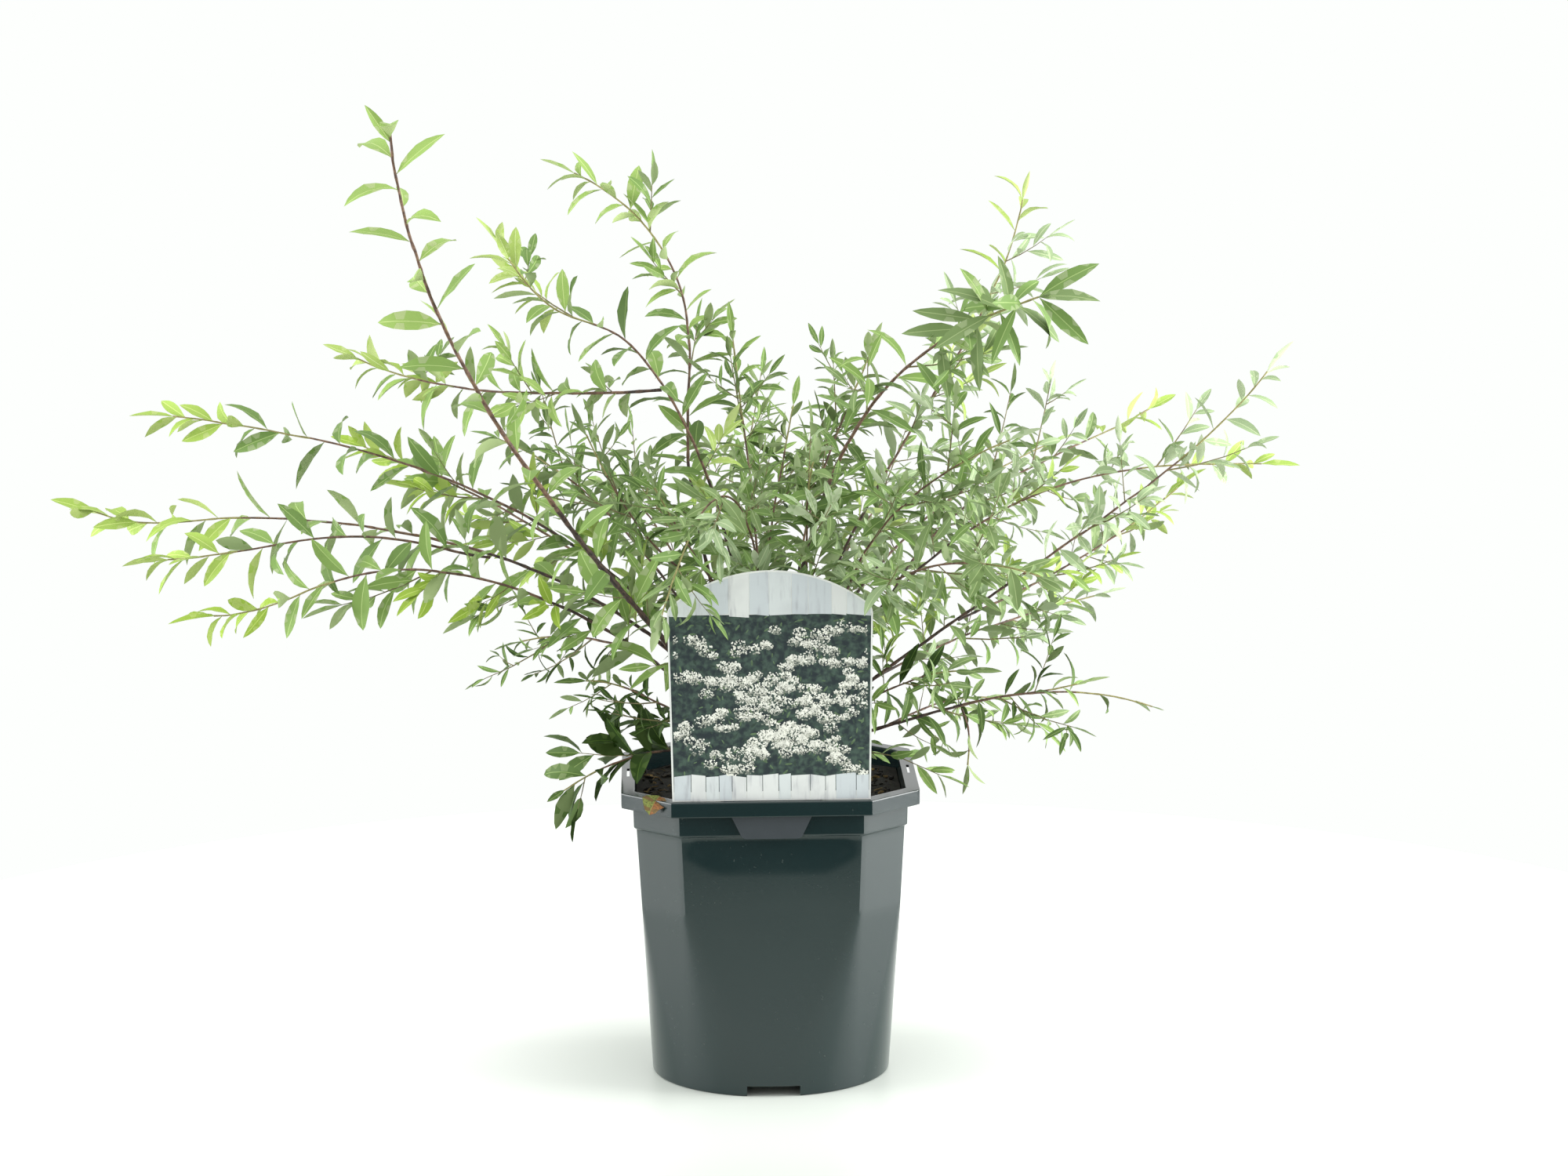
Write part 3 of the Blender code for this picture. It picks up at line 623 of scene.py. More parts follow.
@dataclass
class Pot:
    """Round foot, faceted wall, stepped collar, and a rim with a hanging apron."""

    height: float = field(default_factory=lambda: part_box("pot")[1].z)
    rim_half: float = field(default_factory=lambda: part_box("pot")[1].x)
    foot_radius: float = 0.0771
    facet_start: float = 0.120
    facet_half: float = 0.0827
    collar_start: float = 0.172
    collar_below_half: float = 0.0856
    collar_half: float = 0.0873
    collar_step: float = 0.0015
    rim_drop: float = 0.0097
    rim_plate: float = 0.0016
    apron_thickness: float = 0.0015
    wall: float = 0.0013
    edge: float = 0.0006
    floor_underside: float = 0.008
    floor_top: float = 0.0095
    pad_radius: float = 0.020
    pad_draft: float = 0.002
    foot_ring: float = 0.0029
    ring_draft: float = 0.0005
    foot_chamfer: float = 0.001
    notch: tuple = (0.034, 0.007)
    drain_radius: float = 0.004
    drain_circle: float = 0.050
    drains: int = 8
    slot_width: float = 0.0018
    slot_depth: float = 0.003
    slot_plane: float = 0.0907
    slot_lengths: tuple = (0.064, 0.024)
    cutter_reach: float = 0.020
    sides: int = 256
    lift_rows: int = 16
    corner: float = 0.00042
    rounded_bend: float = 28.0
    panel_start: float = 0.149
    panel_half: tuple = (0.040, 0.068)
    panel_soft: float = 0.014
    panel_limit: float = 0.055
    panel_fade: float = 0.008
    panel_slope: float = 0.064
    wall_margin: float = 0.0003
    brace: float = 0.0009
    long_stretch: float = 0.00288
    outline: Outline = field(default_factory=Outline)

    @property
    def mouth_half(self) -> float:
        """Half width of the mouth between the rim's inner edges."""
        return self.collar_half - self.wall + self.edge

    def profile(self) -> list[tuple[float, float]]:
        """Half width and height of each corner of the section, from the pad's middle to the floor's.

        Returns:
            The corners, each a half width and a height.
        """
        rim_under = self.height - self.rim_plate
        apron_end = self.height - self.rim_drop
        apron_inner = self.rim_half - self.apron_thickness
        ring_low = self.foot_radius - self.foot_ring
        below, under, thin = self.collar_below_half, self.floor_underside, self.wall
        foot = [(0.0, 0.0), (self.pad_radius, 0.0), (self.pad_radius + self.pad_draft, under),
                (ring_low - self.foot_ring + self.ring_draft, under), (ring_low - self.edge, 0.0),
                (self.foot_radius - self.edge, 0.0), (self.foot_radius, self.foot_chamfer)]
        wall = self.wall_rows(self.foot_radius, self.facet_half, self.foot_chamfer, self.facet_start)
        wall += self.wall_rows(self.facet_half, below, self.facet_start, self.collar_start)
        collar = [(self.collar_half, self.collar_start + self.collar_step),
                  (self.collar_half + self.edge, rim_under), (apron_inner, rim_under),
                  (apron_inner, apron_end), (self.rim_half, apron_end), (self.rim_half, self.height),
                  (self.mouth_half, self.height),
                  (self.mouth_half - self.edge, self.height - 2.0 * self.edge),
                  (self.collar_half - thin, self.collar_start + 2.0 * self.collar_step)]
        inner = [(self.facet_half - thin, self.facet_start)]
        inner += self.wall_rows(self.facet_half - thin, below - thin, self.facet_start, self.collar_start)
        ending = [(self.foot_radius - thin, self.floor_top), (0.0, self.floor_top)]
        return foot + wall + self.braced(collar) + inner[::-1] + ending

    def braced(self, points: list[tuple[float, float]]) -> list[tuple[float, float]]:
        """Add a point near both ends of each long stretch, so that it stays flat between its corners.

        Args:
            points: The stretch's corners.

        Returns:
            The corners with the points added.
        """
        made = points[:1]
        for low, high in zip(points, points[1:]):
            span = dist(low, high)
            if span > self.long_stretch:
                for part in (self.brace / span, 1.0 - self.brace / span):
                    made.append(tuple(a + (b - a) * part for a, b in zip(low, high)))
            made.append(high)
        return made

    def wall_rows(self, low: float, high: float, start: float, end: float) -> list[tuple[float, float]]:
        """Points up a straight stretch of wall, its lower end left out."""
        return [(low + (high - low) * i / self.lift_rows, start + (end - start) * i / self.lift_rows)
                for i in range(1, self.lift_rows + 1)]

    def facet(self, vert: BMVert) -> None:
        """Move a point of the turned wall out to the facets, which fade into the round foot.

        Args:
            vert: The point, still round the turned wall.
        """
        share = min(vert.co.z / self.facet_start, 1.0)
        factor = self.outline.factor(atan2(vert.co.y, vert.co.x), share)
        vert.co.x *= factor
        vert.co.y *= factor

    def sink(self, vert: BMVert) -> None:
        """Lay the panel under the collar back to upright on the four wide sides.

        Args:
            vert: The point, already on its facet.
        """
        rise = vert.co.z - self.panel_start
        lift = rise / (self.collar_start - self.panel_start)
        wide = 0 if abs(vert.co.x) > abs(vert.co.y) else 1
        reach, across = abs(vert.co[wide]), abs(vert.co[1 - wide])
        wall = self.facet_half + (self.collar_below_half - self.facet_half) * (
            (vert.co.z - self.facet_start) / (self.collar_start - self.facet_start))
        off_wall = min(abs(reach - wall), abs(reach - wall + self.wall))
        if not 0.0 < lift < 1.001 or off_wall > self.wall_margin:
            return
        low, high = self.panel_half
        inner = (low + (high - low) * lift - across) / self.panel_soft
        window = min(max(min(inner, (self.panel_limit - across) / self.panel_fade), 0.0), 1.0)
        depth = self.panel_slope * rise * window * window * (3.0 - 2.0 * window)
        vert.co[wide] -= copysign(depth, vert.co[wide])

    def cutters(self) -> list[BMesh]:
        """Bodies of the foot's notches, the rim's slots and the drains.

        Returns:
            The bodies, which are cut out of the pot.
        """
        made = []
        width, rise = self.notch
        long_slot, short_slot = self.slot_lengths
        deep = 2.0 * self.slot_depth
        for side in (-1, 1):
            at = side * self.slot_plane
            made.append(block((width, self.cutter_reach, 2.0 * rise), (0.0, side * self.foot_radius, 0.0)))
            made.append(block((long_slot, self.slot_width, deep), (0.0, at, self.height)))
            made.append(block((self.slot_width, short_slot, deep), (at, 0.0, self.height)))
        for i in range(self.drains):
            turn = tau * (i + 0.5) / self.drains
            spot = Vector((cos(turn), sin(turn), 0.0)) * self.drain_circle
            hole = bmesh.new()
            bmesh.ops.create_cone(hole, cap_ends=True, segments=20, radius1=self.drain_radius,
                                  radius2=self.drain_radius, depth=self.cutter_reach / 2.0,
                                  matrix=Matrix.Translation(spot + UP * self.floor_top))
            made.append(hole)
        return made

    def build(self) -> None:
        """Turn the section, shape the facets, round the corners and cut the openings."""
        bm = turned(self.profile(), self.sides)
        for vert in bm.verts:
            self.facet(vert)
            self.sink(vert)
        level = [edge for edge in bm.edges if abs(edge.verts[0].co.z - edge.verts[1].co.z) < 1e-7]
        bend = radians(self.rounded_bend)
        steep = [edge for edge in level if edge.is_manifold and edge.calc_face_angle() > bend]
        bmesh.ops.bevel(bm, geom=steep, offset=self.corner, affect="EDGES", segments=2, profile=0.5,
                        material=-1, clamp_overlap=True)
        mesh = carve(mesh_of(bm, "pot_turned"), self.cutters())
        mesh.shade_smooth()
        mesh.set_sharp_from_angle(angle=radians(SHARP))
        add_piece("nursery_pot", mesh, [PotPlastic().make()], Slot.POT, ["pot"])


CHIP_SIZES = ((0.0025, 0.0012, 0.0008), (0.0085, 0.0042, 0.0024))
FIBRE_SIZES = ((0.006, 0.0004, 0.0004), (0.016, 0.0009, 0.0007))


@dataclass
class PottingMix:
    """Lumpy peat that fills the pot, strewn with bark chips and fibres.

    Each of lumps is a share, a seed and a scale of noise in the mix's top. Each row of litter is a
    piece's name, how many lumps it has, their least and greatest sizes, the angle past which their
    edges stay sharp, and their colour.
    """

    pot: Pot
    top: float = 0.1855
    slack: float = 0.0004
    deep_slack: float = 0.0024
    rings: int = 26
    sides: int = 96
    lump: float = 0.0030
    lumps: tuple = ((0.55, 0.3, 60.0), (0.30, 1.7, 210.0))
    sag: float = 0.25
    clear_middle: float = 0.020
    clear_edge: float = 0.004
    tilt: float = 0.35
    jag: tuple = (0.75, 1.25)
    raised: float = 0.25
    litter: tuple = (("bark_chips_dark", 347, CHIP_SIZES, 30.0, paint(26, 21, 15)),
                     ("bark_chips_brown", 186, CHIP_SIZES, 30.0, paint(56, 46, 30)),
                     ("bark_chips_tan", 99, CHIP_SIZES, 30.0, paint(136, 112, 68)),
                     ("peat_fibres", 90, FIBRE_SIZES, 50.0, paint(128, 106, 64)))

    def half(self) -> float:
        """Half width of the mix between the collar's walls."""
        return self.pot.collar_half - self.pot.wall - self.slack

    def level(self, x: float, y: float) -> float:
        """Height of the mix at a place."""
        heave = [share * noise.noise(Vector((x, y, seed)) * scale) for share, seed, scale in self.lumps]
        return self.top + self.lump * (sum(heave) - self.sag)

    def body(self) -> Mesh:
        """The mix as one turned body with a lumpy top.

        Returns:
            The mesh.
        """
        pot = self.pot
        half = self.half()
        points = [(half * i / self.rings, self.top) for i in range(self.rings + 1)]
        points += [(half, pot.collar_start + 2.0 * pot.collar_step + self.slack),
                   (pot.collar_below_half - pot.wall - self.deep_slack, pot.collar_start),
                   (pot.facet_half - pot.wall - self.deep_slack, pot.facet_start),
                   (pot.foot_radius - pot.wall - self.slack, pot.floor_top + self.slack),
                   (0.0, pot.floor_top + self.slack)]
        bm = turned(points, self.sides)
        for vert in bm.verts:
            on_top = vert.co.z > self.top - 1e-5
            pot.facet(vert)
            if on_top:
                vert.co.z = self.level(vert.co.x, vert.co.y)
        return mesh_of(bm, "mix", 60.0)

    def spot(self, rng: Random) -> Vector:
        """A random place on the mix, clear of the short stem and the walls.

        Args:
            rng: The source of the draws.

        Returns:
            The place, at the mix's own height.
        """
        while True:
            x = rng.uniform(-1.0, 1.0) * self.half()
            y = rng.uniform(-1.0, 1.0) * self.half()
            reach = hypot(x, y)
            edge = self.half() * self.pot.outline.factor(atan2(y, x)) - self.clear_edge
            if self.clear_middle < reach < edge:
                return Vector((x, y, self.level(x, y)))

    def strew(self, rng: Random, count: int, sizes: tuple, ball: tuple) -> MeshHeap:
        """Lay lumps of one kind on the mix.

        Args:
            rng: The source of the draws.
            count: How many lumps.
            sizes: Least and greatest size along, across and up.
            ball: Points of one lump about its middle, one unit across, and its faces.

        Returns:
            The lumps.
        """
        shape, faces = ball
        heap = MeshHeap(faces)
        for _ in range(count):
            spot = self.spot(rng)
            size = [rng.uniform(low, high) for low, high in zip(*sizes)]
            turn = Matrix.Rotation(rng.uniform(0.0, tau), 3, "Z")
            tilts = [Matrix.Rotation(rng.gauss(0.0, self.tilt), 3, axis) for axis in "XY"]
            jag = np.array([[rng.uniform(*self.jag)] for _ in shape])
            lump = (shape * jag * np.array(size)) @ np.array(turn @ (tilts[0] @ tilts[1])).T
            heap.add(lump + np.array(spot + UP * size[2] * self.raised))
        return heap

    def build(self) -> None:
        """Make the mix, its chips and its fibres."""
        rng = Random(SEED)
        add_piece("potting_mix_top", self.body(), [Earth().make()], Slot.MIX, ["potting_mix"])
        ball = bmesh.new()
        bmesh.ops.create_icosphere(ball, subdivisions=1, radius=0.5)
        shape = np.array([tuple(vert.co) for vert in ball.verts])
        faces = [[vert.index for vert in face.verts] for face in ball.faces]
        ball.free()
        for name, count, sizes, sharp, colour in self.litter:
            heap = self.strew(rng, count, sizes, (shape, faces))
            wood = "fibre_wood" if name == "peat_fibres" else name + "_wood"
            add_piece(name, heap.mesh(name, sharp), [Chip(wood, colour).make()], Slot.MIX)


@dataclass
class Label:
    """Plastic card with an arched top, a tongue through the rim, and a generic blossom print."""

    pot: Pot
    plane: float = -0.0907
    thickness: float = 0.0008
    bottom_width: float = 0.125
    width: float = 0.129
    shoulder: float = 0.128
    peak: float = 0.147
    corner: float = 0.009
    tongue_width: float = 0.061
    tongue_end_width: float = 0.040
    tongue_drop: float = 0.0245
    tongue_corner: float = 0.004
    gap: float = 0.0003
    margin: float = 0.0011
    top_boards_end: float = 0.1185
    bottom_boards_end: float = 0.0165
    shoulder_turn: float = 64.0
    ink: float = 0.00005
    ring: int = 6
    ground_start: float = 0.006
    ground_tones: tuple = (paint(30, 42, 46), paint(62, 82, 72))
    board_counts: tuple = (10, 13)
    board_gap: float = 0.0002
    board_jag: float = 0.0009
    board_slope: float = 0.0007
    board_tones: tuple = (paint(196, 202, 202), paint(186, 193, 196), paint(204, 207, 205))
    leaf_spots: int = 430
    leaf_lengths: tuple = (0.0022, 0.0052)
    leaf_level: float = 1.6
    dark_leaves: float = 0.6
    sprays: int = 17
    clusters: int = 15
    cluster_step: float = 0.0052
    scatter: float = 0.0045
    head_reach: tuple = (0.0032, 0.0060)
    florets: int = 52
    floret_size: tuple = (0.0003, 0.00065)
    floret_levels: tuple = (3.2, 2.8, 2.4)
    inks: tuple = (("print_leaves_dark", paint(46, 66, 56)), ("print_leaves_light", paint(84, 108, 76)),
                   ("print_blossom_shade", paint(124, 130, 120)),
                   ("print_blossom_cream", paint(182, 184, 172)),
                   ("print_blossom_white", paint(222, 223, 213)))

    @property
    def base(self) -> float:
        """Height of the card's lower edge on the rim."""
        return self.pot.height + self.gap

    @property
    def front(self) -> float:
        """The card's front face."""
        return self.plane - self.thickness / 2.0

    def arc(self, centre: tuple, radius: float, start: float, end: float, steps: int) -> list[tuple]:
        """Points along an arc in the card's plane, ends included."""
        turns = [radians(start + (end - start) * i / steps) for i in range(steps + 1)]
        return [(centre[0] + radius * cos(turn), centre[1] + radius * sin(turn)) for turn in turns]

    def arch(self) -> tuple[float, float, float, float]:
        """Where the shoulder's arc meets the arch (x, height), and the arch's radius and centre height.

        Returns:
            The four measures.
        """
        turn = radians(self.shoulder_turn)
        edge_x = self.width / 2.0 - self.corner + self.corner * cos(turn)
        edge_z = self.base + self.shoulder - self.corner + self.corner * sin(turn)
        rise = self.base + self.peak - edge_z
        radius = (edge_x ** 2 + rise ** 2) / (2.0 * rise)
        return edge_x, edge_z, radius, self.base + self.peak - radius

    def top_at(self, x: float) -> float:
        """Height of the card's top edge at a distance from its middle.

        Args:
            x: The distance across.

        Returns:
            The height.
        """
        edge_x, _, radius, centre = self.arch()
        if abs(x) <= edge_x:
            return centre + sqrt(radius ** 2 - x ** 2)
        across = min(abs(x) - (self.width / 2.0 - self.corner), self.corner)
        return self.base + self.shoulder - self.corner + sqrt(self.corner ** 2 - across ** 2)

    def card_outline(self) -> list[tuple]:
        """Points of the card's outline above the rim.

        Returns:
            The points, each as (x, height).
        """
        edge_x, edge_z, radius, centre = self.arch()
        shoulder = self.base + self.shoulder - self.corner
        points = [(self.bottom_width / 2.0, self.base)]
        middle = (self.width / 2.0 - self.corner, shoulder)
        points += self.arc(middle, self.corner, 0.0, self.shoulder_turn, 10)
        start = degrees(atan2(edge_z - centre, edge_x))
        points += self.arc((0.0, centre), radius, start, 90.0, 18)[1:]
        return points + [(-x, z) for x, z in reversed(points[:-1])]

    def tongue_outline(self) -> list[tuple]:
        """Points of the tongue's outline, from just above the rim down.

        Returns:
            The points, each as (x, height).
        """
        end = self.pot.height - self.tongue_drop
        points = self.arc((self.tongue_end_width / 2.0 - self.tongue_corner, end + self.tongue_corner),
                          self.tongue_corner, -90.0, -20.0, 6)
        points.append((self.tongue_width / 2.0, self.base))
        return points + [(-x, z) for x, z in reversed(points)]

    def sheet(self, points: Sequence[tuple], front: float, thickness: float) -> BMesh:
        """Return a flat plate.

        Args:
            points: Its outline as (x, height).
            front: Where its front face lies.
            thickness: How far it reaches back from there.

        Returns:
            The plate.
        """
        bm = bmesh.new()
        face = bm.faces.new([bm.verts.new((x, front, z)) for x, z in points])
        grown = bmesh.ops.extrude_face_region(bm, geom=[face])["geom"]
        moved = [item for item in grown if isinstance(item, BMVert)]
        bmesh.ops.translate(bm, verts=moved, vec=(0.0, thickness, 0.0))
        bmesh.ops.recalc_face_normals(bm, faces=bm.faces)
        return bm

    def build_card(self) -> None:
        """Pale card, and its tongue of grey plastic with a pale cut edge."""
        card = self.sheet(self.card_outline(), self.front, self.thickness)
        white = PaintedBoards("card_white", paint(214, 216, 212)).make()
        add_piece("label_card", mesh_of(card, "card"), [white], Slot.LABEL, ["label"])
        tongue = self.sheet(self.tongue_outline(), self.front, self.thickness)
        for face in tongue.faces:
            face.material_index = 0 if abs(face.normal.y) > 0.9 else 1
        finishes = [TonguePlastic().make(), Print("tongue_edge", paint(128, 130, 134)).make()]
        add_piece("label_tongue", mesh_of(tongue, "tongue"), finishes, Slot.LABEL, ["label"])

    def build_ground(self) -> None:
        """Dark green ground of the print, in a mottled ink."""
        half_low = self.bottom_width / 2.0 - self.margin
        half_high = self.width / 2.0 - self.margin
        low = self.base + self.ground_start
        high = self.base + self.shoulder - self.corner
        points = [(half_low, low), (half_high, high), (-half_high, high), (-half_low, low)]
        bm = self.sheet(points, self.front - self.ink, self.ink * 0.9)
        graph = Graph("ink_ground")
        mottle = graph.ramp(graph.speckle(240.0, 5.0), 0.36, 0.70)
        finish = graph.set(Base_Color=graph.blend(mottle, *self.ground_tones), Roughness=0.42)
        add_piece("label_ground", mesh_of(bm, "ground"), [finish], Slot.LABEL)

    def build_boards(self) -> None:
        """Two bands of pale upright boards with uneven ends, one under the arch and one at the foot."""
        rng = Random(SEED + 11)
        heaps = [bmesh.new() for _ in self.board_tones]
        half = self.width / 2.0 - self.margin
        for count, is_top in zip(self.board_counts, (True, False)):
            step = 2.0 * half / count
            joints = [-half + step * (i + (rng.uniform(-0.22, 0.22) if 0 < i < count else 0.0))
                      for i in range(count + 1)]
            narrowing = 1.0 if is_top else self.bottom_width / self.width
            for start, stop in zip(joints, joints[1:]):
                left, right = (start + self.board_gap) * narrowing, (stop - self.board_gap) * narrowing
                end = self.base + (self.top_boards_end if is_top else self.bottom_boards_end)
                end += rng.uniform(-self.board_jag, self.board_jag)
                slope = rng.uniform(-self.board_slope, self.board_slope)
                points = [(left, end - slope), (right, end + slope)]
                if is_top:
                    span = left - right
                    points += [(x, self.top_at(x) - self.margin)
                               for x in (right, right + span * 0.33, right + span * 0.67, left)]
                else:
                    low = self.base + self.margin * 0.6
                    points = [(left, low), (right, low)] + points[::-1]
                plank = self.sheet(points, self.front - 2.4 * self.ink, 2.4 * self.ink)
                pour(plank, heaps[rng.randrange(len(heaps))])
        for i, (bm, tone) in enumerate(zip(heaps, self.board_tones), 1):
            name = f"label_boards_{i}"
            add_piece(name, mesh_of(bm, name), [PaintedBoards(name + "_ink", tone).make()], Slot.LABEL)

    def fits(self, x: float, z: float, reach: float) -> bool:
        """Whether a printed spot of a reach stays on the picture's ground."""
        low, high = self.bottom_boards_end - 0.001 + reach, self.top_boards_end + 0.001 - reach
        return low < z - self.base < high and abs(x) < self.bottom_width / 2.0 - self.margin - reach

    def build_print(self) -> None:
        """Arching sprays of small white blossom heads over loose leaves, a pattern of no one plant."""
        rng = Random(SEED + 23)
        ring = self.ring
        faces = [(k, (k + 1) % ring, ring) for k in range(ring)]
        faces += [(b, a, ring + 1) for a, b, _ in faces]
        heaps = [MeshHeap(faces) for _ in self.inks]
        for _ in range(self.leaf_spots):
            x, z = self.random_spot(rng)
            length = rng.uniform(*self.leaf_lengths)
            turn = rng.uniform(0.0, tau)
            if self.fits(x, z, length / 2.0):
                spot = self.inked((x, z), (length / 2.0, length * 0.15), turn, self.leaf_level)
                heaps[0 if rng.random() < self.dark_leaves else 1].add(spot)
        for spray in range(self.sprays):
            root_x = -0.060 + 0.120 * rng.random()
            root_z = self.base + 0.016 + 0.088 * (spray + rng.random()) / self.sprays
            lean = radians(rng.uniform(10.0, 60.0))
            hand = rng.choice((-1.0, 1.0))
            for k in range(self.clusters):
                along = self.cluster_step * (k - 3)
                bend = lean - 0.9 * (max(along, 0.0) / 0.07) ** 1.4
                x = root_x + hand * along * cos(bend) + rng.uniform(-self.scatter, self.scatter)
                z = root_z + along * sin(bend) + rng.uniform(-self.scatter, self.scatter)
                self.print_head(rng, x, z, heaps[:1:-1])
        for (name, colour), heap in zip(self.inks, heaps):
            add_piece(name, heap.mesh(name), [Print(name + "_ink", colour).make()], Slot.LABEL)

    def random_spot(self, rng: Random) -> tuple[float, float]:
        """A random place on the picture."""
        half = self.bottom_width / 2.0
        return rng.uniform(-half, half), self.base + rng.uniform(self.bottom_boards_end, self.top_boards_end)

    def print_head(self, rng: Random, x: float, z: float, heaps: Sequence[MeshHeap]) -> None:
        """Print one head of small florets, shaded below and white above.

        Args:
            rng: The source of the draws.
            x: The head's middle across the card.
            z: Its middle in height.
            heaps: Where white, cream and shaded florets go.
        """
        reach = rng.uniform(*self.head_reach)
        for _ in range(self.florets):
            turn = rng.uniform(0.0, tau)
            share = sqrt(rng.random())
            dx, dz = reach * share * cos(turn), 0.7 * reach * share * sin(turn)
            size = rng.uniform(*self.floret_size)
            if self.fits(x + dx, z + dz, size):
                light = dz / reach + rng.uniform(-0.35, 0.35)
                kind = 0 if light > 0.05 else 1 if light > -0.35 else 2
                heaps[kind].add(self.inked((x + dx, z + dz), (size, size), turn, self.floret_levels[kind]))

    def inked(self, middle: tuple, halves: tuple, turn: float, level: float) -> np.ndarray:
        """Points of a thin raised spot of ink.

        Args:
            middle: Its middle across the card and in height.
            halves: Half its length and half its width.
            turn: Its turn in the card's plane.
            level: How many coats of ink lie under its middle.

        Returns:
            The outline's points, the front's middle and the back's.
        """
        (x, z), (long, wide) = middle, halves
        points = []
        for k in range(self.ring):
            a = tau * k / self.ring
            u, v = long * cos(a), wide * sin(a)
            points.append((x + u * cos(turn) - v * sin(turn), self.front - (level - 0.4) * self.ink,
                           z + u * sin(turn) + v * cos(turn)))
        points.append((x, self.front - (level + 0.6) * self.ink, z))
        points.append((x, self.front - (level - 1.0) * self.ink, z))
        return np.array(points)

    def build(self) -> None:
        """Make the card and its print."""
        self.build_card()
        self.build_ground()
        self.build_boards()
        self.build_print()


@dataclass(frozen=True)
class Cane:
    """One cane: where it ends, how it sets off and arrives, and what it carries.

    Bearings are degrees seen from above, 0 to the right and 90 to the back. The tip lies at
    reach and height from the middle of the pot's underside. rise and nod are the slopes at
    the foot and at the tip, swing and veer turn the heading there away from the bearing, and
    bow and hook are how far each end runs straight on, as shares of the span. bare is the
    share of the length that is a bough. A fork leaves its host at the share fork.
    """

    name: str
    bearing: float
    reach: float
    height: float
    rise: float
    nod: float
    bare: float = 0.0
    swing: float = 0.0
    veer: float = 0.0
    bow: float = 0.40
    hook: float = 0.30
    girth: float = 0.0018
    leaf: float = 0.036
    twigs: int = 2
    twig: float = 0.058
    host: str = ""
    fork: float = 0.0


